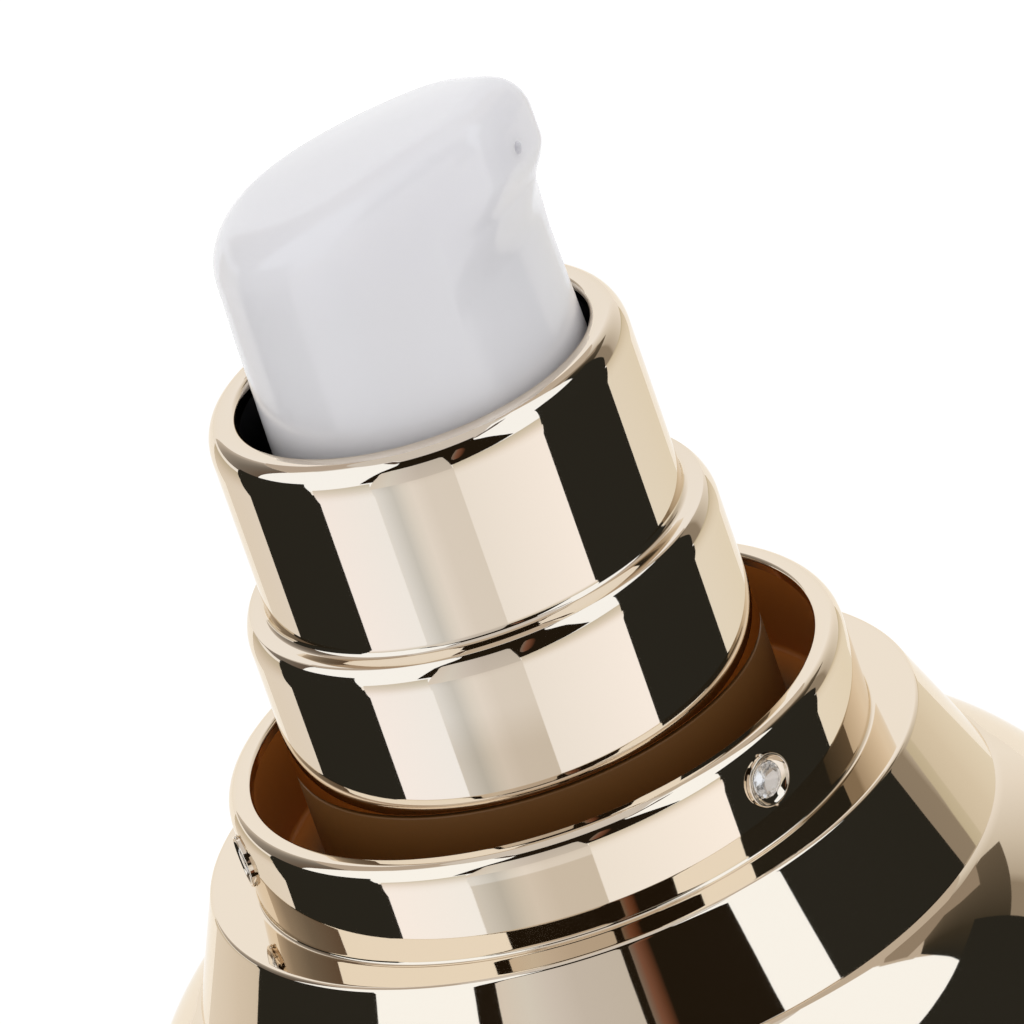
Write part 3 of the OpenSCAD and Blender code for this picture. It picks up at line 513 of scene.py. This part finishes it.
def drill(piece, start, direction, radius, length):
    """Cuts a round hole from start along direction, and leaves the cutter out of the scene."""
    turn = Vector(direction).to_track_quat("Z", "Y").to_matrix().to_4x4()
    a = np.arange(49) * 2 * math.pi / 48
    a[-1] = 0
    rows = [(0, 0), (radius, 0), (radius, length), (0, length)]
    grid = np.stack([np.stack([r * np.cos(a), r * np.sin(a), h + 0 * a], axis=1) for r, h in rows])
    cutter = solid("cutter", [(grid, 0)])
    cutter.data.transform(Matrix.Translation(Vector(start) / 1000) @ turn)
    cut = piece.modifiers.new("cut", "BOOLEAN")
    cut.operation, cut.solver, cut.object = "DIFFERENCE", "EXACT", cutter
    bpy.context.view_layer.update()
    made = bpy.data.meshes.new_from_object(piece.evaluated_get(bpy.context.evaluated_depsgraph_get()))
    piece.modifiers.clear()
    piece.data = made
    bpy.data.objects.remove(cutter)


OUTLET_Z, OUTLET_R, OUTLET_IN_X, DRILL_LENGTH = 87.76, 0.3, 9.3, 3
head = head_piece()
outlet_in_z = OUTLET_Z - SLOPE * (REACH + OFFSET - OUTLET_IN_X)
drill(head, (OUTLET_IN_X, 0.0, outlet_in_z), (1, 0, SLOPE), OUTLET_R, DRILL_LENGTH)
finish_mesh(head, 32)
print("press head points:", len(head.data.vertices), "outlet radius, mm:", OUTLET_R)

# %% [markdown]
# ## Neck thread
# The 20 mm neck carries one and a half turns of thread, which the solids leave out. A Screw modifier could
# make it, but its ends would be cut off square. The ridge is swept along the helix instead, thinning to
# nothing at both ends as a moulded thread does.

# %% Neck thread
def thread_piece():
    """Ridge section swept up the helix z = z0 + pitch * turns, scaled down at both ends."""
    t = np.linspace(0, THREAD_TURNS, 217)
    a = 2 * math.pi * t
    fade = smooth(np.minimum(t, THREAD_TURNS - t) / 0.12)
    section = np.array([(-0.1, -0.62), (0.0, -0.6), (0.78, -0.22), (0.9, 0.0), (0.78, 0.22), (0.0, 0.6),
                        (-0.1, 0.62), (-0.1, -0.62)])
    r = NECK_R + section[:, 0, None] * np.where(section[:, 0, None] > 0, fade, 1)
    z = THREAD_Z + PITCH * t + section[:, 1, None] * (0.2 + 0.8 * fade)
    ridge = np.stack([r * np.cos(a), r * np.sin(a), z + 0 * r], axis=2)
    ends = [np.stack([ridge[:, k], np.repeat(ridge[:, k].mean(0)[None], len(ridge), 0)]) for k in (0, -1)]
    return solid("neck_thread", [(ridge, 0)] + [(end, 0) for end in ends])


thread = thread_piece()
print("thread points:", len(thread.data.vertices))

# %% [markdown]
# ## Materials
# Every finish here is one Principled shader, because it covers metal, plastic and crystal alike. Colours
# are sRGB hex values, as a colour card gives them, brought to linear light by one function.

# %% Material helpers
def linear(text):
    """sRGB hex to linear RGBA."""
    raw = [int(text[k:k + 2], 16) / 255 for k in (1, 3, 5)]
    return [c / 12.92 if c <= 0.04045 else ((c + 0.055) / 1.055) ** 2.4 for c in raw] + [1.0]


def add(tree, kind, links=None, **values):
    """One shader node with its socket values, and links from (node, output) to named inputs."""
    node = tree.nodes.new(kind)
    for key, value in values.items():
        if hasattr(node, key):
            setattr(node, key, value)
        else:
            node.inputs[key.replace("_", " ")].default_value = value
    for key, (source, output) in (links or {}).items():
        tree.links.new(source.outputs[output], node.inputs[key])
    return node


def material(name, base, rough, bump=None, **values):
    """Principled material; bump is (scale per metre, height in metres) of a soft noise on the object."""
    made = bpy.data.materials.new(name)
    made.use_nodes = True
    tree = made.node_tree
    shader = tree.nodes["Principled BSDF"]
    shader.inputs["Base Color"].default_value = linear(base)
    shader.inputs["Roughness"].default_value = rough
    for key, value in values.items():
        shader.inputs[key.replace("_", " ")].default_value = value
    if bump:
        place = add(tree, "ShaderNodeTexCoord")
        noise = add(tree, "ShaderNodeTexNoise", {"Vector": (place, "Object")}, Scale=bump[0], Detail=2.0)
        relief = add(tree, "ShaderNodeBump", {"Height": (noise, "Fac")}, Strength=1.0, Distance=bump[1])
        tree.links.new(relief.outputs["Normal"], shader.inputs["Normal"])
    return made


# %% [markdown]
# ## Gold finishes
# The body and the shoulder are vacuum-metallised plastic under clear lacquer, and the collar is anodised
# aluminium. A flat yellow would look like paint. Both are full metals with a pale champagne colour, an
# almost polished surface, and a slightly warmer edge tint, so that they take their looks from the light
# round them.

# %% Gold finishes
EDGE_TINT = linear("#f6f0e5")
# A moulding's faint ripple, one every 4.5 mm
RIPPLES_PER_M, RIPPLE_HEIGHT_M = 220, 0.0000035
# Vacuum-metallised gold under clear lacquer: a mirror whose lines waver a little
gold = material("champagne_metallised", "#eee1d0", 0.03, bump=(RIPPLES_PER_M, RIPPLE_HEIGHT_M), Metallic=1.0,
                Specular_Tint=EDGE_TINT)
# Spun and bright-anodised aluminium sleeve, truer than the moulded parts
gold_metal = material("champagne_anodised", "#ece0d1", 0.03, Metallic=1.0, Specular_Tint=EDGE_TINT)
print("gold finishes:", gold.name, gold_metal.name)

# %% [markdown]
# ## Amber groove
# Inside the ring the plastic was masked from the plating and shows as bare amber ABS. The thick boss lies in
# the collar's shade, and the thin ring wall takes light through it and off the gold. Real light transport
# through the plastic would be slow and noisy, so this light and shade are painted into the colour instead:
# painted shade on the boss and painted light on the ring wall, following the distance from the bottle's axis.

# %% Amber groove
# Radii in metres: the painted shade of the boss is full inside the first, the painted light of the ring wall
# outside the second
AMBER_SHADED_M, AMBER_LIT_M = 0.0119, 0.0135
amber = material("amber_abs_painted_shade_and_light", "#8f541c", 0.42, IOR=1.5, Specular_IOR_Level=0.3)
tree = amber.node_tree
place = add(tree, "ShaderNodeTexCoord")
flat = add(tree, "ShaderNodeVectorMath", {0: (place, "Object")}, operation="MULTIPLY")
flat.inputs[1].default_value = (1, 1, 0)
radius = add(tree, "ShaderNodeVectorMath", {0: (flat, "Vector")}, operation="LENGTH")
share = add(tree, "ShaderNodeMapRange", {"Value": (radius, "Value")},
            From_Min=AMBER_SHADED_M, From_Max=AMBER_LIT_M)
# Painted shade and light: dark brown on the boss for the collar's shade, bright orange on the ring wall for
# light through it and off the gold
tint = add(tree, "ShaderNodeValToRGB", {"Fac": (share, "Result")})
for element, shade in zip(tint.color_ramp.elements, ("#6a451c", "#c87a32")):
    element.color = linear(shade)
tree.links.new(tint.outputs["Color"], tree.nodes["Principled BSDF"].inputs["Base Color"])
print("amber runs from dark to light between radii, mm:", 1000 * AMBER_SHADED_M, 1000 * AMBER_LIT_M)

# %% [markdown]
# ## Plastics, steel and crystal
# The press head is white polypropylene, a milky plastic that light enters a little way, so it gets
# subsurface scattering and a soft gloss. The inside pieces are seen only through gaps or when the pump is
# lifted out, so plain colours and roughness are enough for them.

# %% Plastics, steel and crystal
# White polypropylene, slightly translucent
white_pp = material("white_polypropylene", "#e9e8ec", 0.16, IOR=1.49, Subsurface_Weight=0.6,
                    Subsurface_Scale=0.003, Subsurface_Radius=(1.0, 1.0, 1.0))
# Natural polypropylene of the liner and the pump's housing
natural_pp = material("natural_polypropylene", "#dfe3e4", 0.25, IOR=1.49)
# Black polypropylene of the inner closure
black_pp = material("black_polypropylene", "#111012", 0.3, IOR=1.49)
# Polyethylene foam washer, matt and closed-celled
foam = material("polyethylene_foam", "#d8dadd", 0.7)
# Soft polyethylene of the piston
soft_pe = material("soft_polyethylene", "#d3d9de", 0.35)
# Drawn stainless steel of the spring and the ball
steel = material("stainless_steel", "#c4c4c6", 0.22, Metallic=1.0)
# Cut clear crystal, moulded rather than polished, so its sparkle is soft
crystal = material("clear_crystal", "#eef0f4", 0.12, IOR=1.52, Transmission_Weight=1.0)
print("materials:", len(bpy.data.materials))

# %% [markdown]
# ## Dressing the frame
# Each finished piece rides on its solid's body, so that it moves with the joints, and stands for that
# solid. The solids that stay hidden inside could be rebuilt too, but nobody would see it, so they keep
# their own meshes and only get a material.

# %% Dress the frame
def dress(piece, body, slot, looks, *nodes):
    """Gives the piece its materials, puts it on its body and hides the given solids."""
    for look in looks:
        piece.data.materials.append(look)
    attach(piece, body)
    if nodes:
        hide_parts(*nodes)


dress(body, "bottle", "gold_plastic", [gold], "body_shell")
dress(shoulder, "bottle", "gold_plastic", [gold, amber], "shoulder")
dress(collar, "closure", "gold_aluminium", [gold_metal], "collar_sleeve")
dress(head, "head", "head_plastic", [white_pp], "actuator")
dress(thread, "bottle", "natural_plastic", [natural_pp])
for k in range(3):
    dress(settings[k], "bottle", "gold_plastic", [gold_metal], f"setting_{k + 1}")
    dress(stones[k], "bottle", "stone_glass", [crystal], f"rhinestone_{k + 1}")

INSIDE = {"inner_bottle": natural_pp, "screw_closure": black_pp, "neck_gasket": foam,
          "pump_housing": natural_pp, "stem_guide": white_pp, "dip_tube": natural_pp, "return_spring": steel,
          "inlet_ball": steel, "piston": soft_pe, "piston_rod": white_pp, "stem": white_pp}
for node, look in INSIDE.items():
    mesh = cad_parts[node].data
    mesh.materials.clear()
    mesh.materials.append(look)
print("inside solids:", len(INSIDE))

# %% [markdown]
# ## Light
# A mirror finish shows its surroundings, so the light is a small white studio. It could be a modelled room,
# or one picture wrapped round the scene. Plain glowing sheets are used instead, because each of their edges
# can be put where the finish should show a line. A sheet's colour may run along its rows and over them.

# %% Glowing sheets
def emitter(name, colour, strength=1.0, across=None, up=None):
    """Glowing surface; across and up are (share, hex) colours along the board's rows and over them."""
    made = bpy.data.materials.new(name)
    made.use_nodes = True
    tree = made.node_tree
    tree.nodes.clear()
    glow = add(tree, "ShaderNodeEmission", Color=linear(colour), Strength=strength)
    uv = add(tree, "ShaderNodeUVMap", uv_map="board")
    split = add(tree, "ShaderNodeSeparateXYZ", {"Vector": (uv, "UV")})
    ramps = []
    for axis, stops in (("X", across), ("Y", up)):
        if stops:
            ramp = add(tree, "ShaderNodeValToRGB", {"Fac": (split, axis)})
            while len(ramp.color_ramp.elements) < len(stops):
                ramp.color_ramp.elements.new(0.5)
            for element, (share, shade) in zip(ramp.color_ramp.elements, stops):
                element.position, element.color = share, linear(shade)
            ramps.append((ramp, "Color"))
    if len(ramps) == 2:
        both = add(tree, "ShaderNodeVectorMath", dict(enumerate(ramps)), operation="MULTIPLY")
        tree.links.new(both.outputs["Vector"], glow.inputs["Color"])
    elif ramps:
        tree.links.new(ramps[0][0].outputs["Color"], glow.inputs["Color"])
    add(tree, "ShaderNodeOutputMaterial", {"Surface": (glow, "Emission")})
    return made


# %% [markdown]
# ## Placing the sheets
# Where a sheet shows in the finish depends only on its direction, so it is placed by azimuth from the
# camera's line and by elevation as seen from the collar. Sheets on the table are rows at a distance from
# the axis, and upright ones are rows on a sphere round the collar. A nearer sheet hides a farther one. They
# are seen only in mirrors, so they neither light the white head nor cast shadows.

# %% Placing the sheets
CAMERA_A = -54.0
EYE_Z, TABLE_Z = 60.0, 0.6
sheets = []


def board(name, rows, look, steps=32):
    """Sheet from rows of (distance, height, low, high azimuth from the camera's line), seen only in mirrors."""
    rows = np.array(rows, float)
    share = np.linspace(0, 1, steps + 1)
    a = np.radians(CAMERA_A + rows[:, 2:3] + (rows[:, 3:] - rows[:, 2:3]) * share)
    r, z = rows[:, :1], rows[:, 1:2]
    at = np.stack([r * np.cos(a), r * np.sin(a), z + 0 * a], axis=2).reshape(-1, 3) * 0.001
    first = (np.arange(len(rows) - 1)[:, None] * (steps + 1) + np.arange(steps)).ravel()
    faces = np.stack([first, first + 1, first + steps + 2, first + steps + 1], axis=1)
    mesh = bpy.data.meshes.new(name)
    mesh.from_pydata(at.tolist(), [], faces.tolist())
    corner = np.zeros(len(mesh.loops), np.int32)
    mesh.loops.foreach_get("vertex_index", corner)
    uv = np.stack([corner % (steps + 1) / steps, corner // (steps + 1) / (len(rows) - 1)], axis=1)
    mesh.uv_layers.new(name="board").data.foreach_set("uv", uv.ravel())
    mesh.materials.append(look)
    made = bpy.data.objects.new(name, mesh)
    bpy.context.scene.collection.objects.link(made)
    made.visible_camera = made.visible_diffuse = made.visible_shadow = False
    made.visible_transmission = made.visible_volume_scatter = False
    sheets.append(name)


def table(low, high):
    """Rows of a sheet that lies on the table from low to high azimuth and lifts a little at its far end."""
    flat = [(distance, TABLE_Z, low, high) for distance in (40, 160, 330)]
    return flat + [(400, 20, low, high)]


def upright(rows, distance=420.0):
    """Rows of (elevation, low, high azimuth) put on a sphere round the collar."""
    e = [math.radians(row[0]) for row in rows]
    return [(distance * math.cos(t), EYE_Z + distance * math.sin(t), row[1], row[2]) for t, row in zip(e, rows)]


# %% [markdown]
# ## Black flags
# Beside a mirror-bright bottle a studio puts black flags, which draw the tall dark bands that show its
# round form. Each flag lies on the table and stands up behind it. Its upper edge isn't straight, because
# the cloth hangs over its stand.

# %% Black flags
cloth = emitter("black_flag", "#2b2a25")
board("flag_left_table", table(-121.5, -71.3), cloth)
board("flag_left", upright([(-9, -120.5, -72), (0, -122.5, -72.5), (8, -123, -75), (11, -122, -76),
                            (13, -106, -76.4), (15, -92, -76.8), (17, -79, -77.2)], distance=400), cloth)
board("flag_right_table", table(53, 105.2), cloth)
board("flag_right", upright([(-9, 52.3, 103), (0, 52.3, 105), (8, 52.8, 107), (18, 54, 106.5), (26, 55.5, 106),
                             (33.5, 57, 105), (34.5, 66, 94)], distance=400), cloth)
corner_tones = [(0.0, "#2b2a25"), (0.4, "#3c362b"), (1.0, "#6a6052")]
board("dark_corner", upright([(24, 87, 129), (31, 89, 125), (37, 92, 118), (41, 93, 111.5),
                              (45, 94.5, 101)], distance=410),
      emitter("dark_corner", "#2b2a25", across=corner_tones))
board("lit_edge", upright([(32, 117, 127), (37, 112.5, 120), (41, 109, 115), (45, 100.5, 111.5),
                           (48, 94.3, 108), (51, 94.2, 103.5), (53, 94.5, 98.5)], distance=408),
      emitter("lit_edge", "#9a8d7d"))
print("sheets with the flags:", len(sheets))

# %% [markdown]
# ## Sides of the room
# Outside the flags the bottle's flanks mirror the room's walls, which are neither white nor black. Their
# tones run from the flags' shade to the light behind the bottle, so that the flanks fade as round metal
# does.

# %% Sides of the room
right_tones = [(0.0, "#94897a"), (0.26, "#978c7c"), (0.32, "#bdb4a6"), (0.55, "#dcd6cb"), (0.85, "#f7f4f0"),
               (1.0, "#ffffff")]
left_tones = [(0.0, "#cfc8c0"), (0.25, "#a09a93"), (0.6, "#7c766f"), (1.0, "#6a5d52")]
board("side_right", upright([(-4, 100, 152), (10, 102, 152), (26, 104, 152), (40, 104, 152)], distance=415),
      emitter("side_right", "#94897a", across=right_tones))
board("wall_right", upright([(40, 93, 150), (60, 93, 150), (75, 93, 150)], distance=430),
      emitter("wall_right", "#c6bbad"))
board("side_left", upright([(8, -152, -107.5), (20, -152, -107.5), (30, -150, -106.5), (42, -148, -105)],
                           distance=410), emitter("side_left", "#7c766f", across=left_tones))
board("wall_left", upright([(42, -150, -104), (55, -150, -98), (66, -150, -85)], distance=430),
      emitter("wall_left", "#beb3a8"))
print("sheets with the sides:", len(sheets))

# %% [markdown]
# ## Table
# The upright walls of the bottle look down at the table, so its pale paper makes most of the gold's colour.
# Four pieces of it lie between the flags and the card. Each gets a little darker with distance and ends in
# a low far edge.

# %% Table
FADE = [(0.0, "#ffffff"), (0.3, "#ffffff"), (0.667, "#f0ece6"), (1.0, "#e7e2d9")]
FAR = [(0.0, "#ebe7df"), (0.5, "#d9d4c6"), (1.0, "#d0cab9")]
# Low and high azimuth, strength, colours at the two ends, and rows of the far edge
PAPER = {"table_left": (-71.3, -40, 1.15, "#f9f9ff", "#f3f8ff", [(3, -71.3, -40), (8, -44, -40)]),
         "table_right": (2.5, 53, 1.15, "#eeeeee", "#fbfafc", [(2, 2.5, 53), (10, 50, 53)]),
         "table_far_right": (105.2, 150, 1.1, "#eae6db", "#eae6db", [(-5, 105.2, 150), (-3, 105.2, 150)]),
         "table_far_left": (-150, -121.5, 1.07, "#eae6e1", "#eae6e1", [(1, -150, -121.5), (3, -150, -121.5)])}
for name, (low, high, strength, first_tone, last_tone, top) in PAPER.items():
    tones = [(0.0, first_tone), (1.0, last_tone)]
    board(name, table(low, high), emitter(name, first_tone, strength, across=tones, up=FADE))
    board(name + "_edge", upright([(-9, low, high)] + top, distance=423),
          emitter(name + "_edge", first_tone, strength, across=tones, up=FAR))
print("sheets with the table:", len(sheets))

# %% [markdown]
# ## Grey card
# A grey card stands on the table in front of the bottle and gives the middle of the gold its half-tone. Its
# slightly uneven grey runs across it, and its foot is a little darker than the rest.

# %% Grey card
low_tones = [(0.0, "#e6e9ec"), (0.06, "#e0e4e8"), (0.22, "#cdd0d1"), (0.36, "#e0e0de"), (0.46, "#e7e5e3"),
             (0.64, "#dfdcd8"), (1.0, "#dedbd6")]
low_rise = [(0.0, "#ece8e2"), (0.283, "#ece8e2"), (0.305, "#ffffff"), (1.0, "#f6f5f4")]
high_tones = [(0.0, "#e2ddd7"), (0.22, "#e0e0dd"), (0.4, "#d9d6d4"), (0.6, "#d0ccc8"), (1.0, "#cdc9c3")]
high_rise = [(0.0, "#ffffff"), (0.5, "#f8f8f8"), (1.0, "#f2f2f2")]
board("card_table", table(-40.3, 2.5), emitter("card_low", "#dfddd9", 1.11, across=low_tones, up=low_rise))
board("card", upright([(-9, -40.5, 2.4), (0, -40, 2.1), (10, -38.2, 1.3), (20, -36, 0.2), (26, -35.5, -0.5),
                       (29, -34.5, -1), (31, -29, -2.5)], distance=405),
      emitter("card_high", "#cfcbc6", 1.05, across=high_tones, up=high_rise))
print("sheets with the card:", len(sheets))

# %% [markdown]
# ## Figure behind the card
# Whoever works at the camera wears dark clothes and shows above and beside the card, with one arm in front.
# Two plain silhouettes and a skin-coloured strip are enough, because the finish shows them only a few
# millimetres wide.

# %% Figure behind the card
dusk = emitter("dark_clothes", "#221b12")
board("figure_right", upright([(2, 1.5, 4), (4, 1, 12), (7, 0.5, 26), (10.5, 0, 37), (18, -2, 33),
                               (24, -20, 30.5), (34.5, -20, 26), (40, -20, 22.5), (44.5, -20, 20.3),
                               (50, -20, 21), (54.5, -20, 24)], distance=412), dusk)
board("figure_left", upright([(10.5, -45, -37), (18, -42, -34), (27, -38.5, -19), (34, -35.2, -19),
                              (40, -30.5, -19), (44, -28, -19), (50, -28, -19), (54.5, -30, -19)],
                             distance=414), dusk)
arm_tones = [(0.0, "#7d7166"), (0.35, "#7d5644"), (0.75, "#5f3d2b"), (1.0, "#2a1f15")]
board("arm", upright([(12, 4, 7), (15, 3, 9), (20, 3.5, 10.5), (27, 5, 12), (32, 6.5, 12), (35, 7.5, 11)],
                     distance=407), emitter("arm", "#8a7768", across=arm_tones))
print("sheets with the figure:", len(sheets))

# %% [markdown]
# ## Softboxes and ceiling
# Two softboxes stand behind and above the flags. They make the white parts of the cone, the rims and the
# body, and a thin frame ends them towards the figure. A pale ceiling closes the studio above them.

# %% Softboxes and ceiling
frame_edge = emitter("softbox_edge", "#5d5048")
board("edge_right", upright([(49, 20, 24.5), (52, 24, 30), (55, 29, 37), (58, 35.5, 45), (61, 42, 53),
                             (64, 50, 62)], distance=422), frame_edge)
board("edge_left", upright([(50, -31, -27), (54, -36, -29), (58, -41.5, -33.5), (62, -48, -40)],
                           distance=422), frame_edge)
box_light = emitter("softbox", "#f1f8ff", 1.25)
board("softbox_left", upright([(1, -108, -27), (10, -108, -27), (30, -107, -27), (46, -101, -27),
                               (56, -90, -30), (63, -78, -40)], distance=426), box_light)
board("softbox_right", upright([(5, 18, 93), (10, 18, 93), (30, 18, 93), (48, 20, 93.5), (58, 34, 94),
                                (70, 58, 95)], distance=426), box_light)
board("ceiling", upright([(52, -180, 180), (66, -180, 180), (80, -180, 180), (89.5, -180, 180)], distance=460),
      emitter("ceiling", "#d8d5d2"), steps=96)
print("sheets in all:", len(sheets))

# %% [markdown]
# ## Floor and backdrop
# The bottle stands on white paper under an even white light. A curved backdrop would do, but a plane and a
# white world are simpler and leave no horizon. Both look a little brighter to the camera and in mirrors
# than they shine on the objects, so that the ground is white and the white head still has shades of its
# own.

# %% Floor and backdrop
FLOOR_SIZE_M, FLOOR_LIFT, AMBIENT = 6, 0.24, 0.84
bpy.ops.mesh.primitive_plane_add(size=FLOOR_SIZE_M)
floor = bpy.context.object
floor.name = "studio_floor"


def lift(tree, low, high):
    """Value that is low for most rays and high for those from the camera or off a mirror."""
    path = add(tree, "ShaderNodeLightPath")
    rays = {0: (path, "Is Camera Ray"), 1: (path, "Is Glossy Ray")}
    seen = add(tree, "ShaderNodeMath", rays, operation="MAXIMUM")
    scaled = add(tree, "ShaderNodeMath", {0: (seen, "Value")}, operation="MULTIPLY_ADD")
    scaled.inputs[1].default_value, scaled.inputs[2].default_value = high - low, low
    return scaled.outputs["Value"]


# Matt white paper that carries the shadow
paper = material("table_paper", "#f7f7f7", 0.9)
shader = paper.node_tree.nodes["Principled BSDF"]
shader.inputs["Emission Color"].default_value = (1, 1, 1, 1)
paper.node_tree.links.new(lift(paper.node_tree, 0.0, FLOOR_LIFT), shader.inputs["Emission Strength"])
floor.data.materials.append(paper)

world = bpy.data.worlds.new("studio")
bpy.context.scene.world = world
world.use_nodes = True
background = world.node_tree.nodes["Background"]
background.inputs["Color"].default_value = (1, 1, 1, 1)
world.node_tree.links.new(lift(world.node_tree, AMBIENT, 1.0), background.inputs["Strength"])
print("floor, m:", FLOOR_SIZE_M, "ambient light on the objects:", AMBIENT)

# %% [markdown]
# ## Key lamp
# An even light alone would leave the white head flat. One large soft lamp from the upper left gives it a
# lighter and a darker side. Mirrors don't show it, because the softboxes already stand for it there.

# %% Key lamp
def lamp(name, azimuth, elevation, distance, size, power):
    """Square area lamp aimed at the collar, placed by azimuth from the camera's line; hidden from mirrors."""
    light = bpy.data.lights.new(name, "AREA")
    light.size, light.energy = size, power
    made = bpy.data.objects.new(name, light)
    bpy.context.scene.collection.objects.link(made)
    a, e = math.radians(CAMERA_A + azimuth), math.radians(elevation)
    out = Vector((math.cos(a) * math.cos(e), math.sin(a) * math.cos(e), math.sin(e)))
    made.location = Vector((0, 0, 0.066)) + out * distance
    made.rotation_euler = out.to_track_quat("Z", "Y").to_euler()
    made.visible_glossy = False
    return made


key = lamp("key_left", azimuth=-60, elevation=60, distance=1.2, size=0.7, power=0.8)
print("key lamp at, m:", [round(x, 2) for x in key.location])

# %% [markdown]
# ## Camera
# A long lens from 25 degrees above, rolled by 19 degrees so that the bottle leans to the left in the
# picture. The lens could be set by eye, but here it follows from how large a millimetre is in the picture
# and from the place of one point on the bottle's axis.

# %% Camera
ELEVATION, ROLL, FRAME = 24.7, 19.4, 1024
# Picture scale at the axis in pixels per mm, lens in pixels, and the axis point with its pixel
SCALE, FOCAL, AXIS_Z, AXIS_X_PX, AXIS_Y_PX = 21.5, 13000.0, 66.25, 480.9, 560.0


def look_at_bottle():
    """Camera whose picture has the axis point at its pixel: distance = lens / scale, then a sideways shift."""
    a, e = math.radians(CAMERA_A), math.radians(ELEVATION)
    back = Vector((math.cos(a) * math.cos(e), math.sin(a) * math.cos(e), math.sin(e)))
    right = Vector((0, 0, 1)).cross(back).normalized()
    up = back.cross(right)
    roll = math.radians(ROLL)
    x_axis = right * math.cos(roll) - up * math.sin(roll)
    y_axis = up * math.cos(roll) + right * math.sin(roll)
    distance = FOCAL / SCALE / 1000
    shift = (x_axis * (FRAME / 2 - AXIS_X_PX) - y_axis * (FRAME / 2 - AXIS_Y_PX)) * distance / FOCAL
    data = bpy.data.cameras.new("camera")
    data.sensor_width, data.lens = 36, 36 * FOCAL / FRAME
    data.clip_start, data.clip_end = 0.05, 20
    made = bpy.data.objects.new("camera", data)
    bpy.context.scene.collection.objects.link(made)
    basis = Matrix((x_axis, y_axis, back)).transposed()
    place = Vector((0, 0, AXIS_Z / 1000)) + back * distance + shift
    made.matrix_world = Matrix.Translation(place) @ basis.to_4x4()
    return made


camera = look_at_bottle()
bpy.context.scene.camera = camera
bpy.context.scene.view_settings.view_transform = "Standard"
print("camera distance, mm:", round(FOCAL / SCALE, 1), "lens, mm:", round(camera.data.lens, 1))
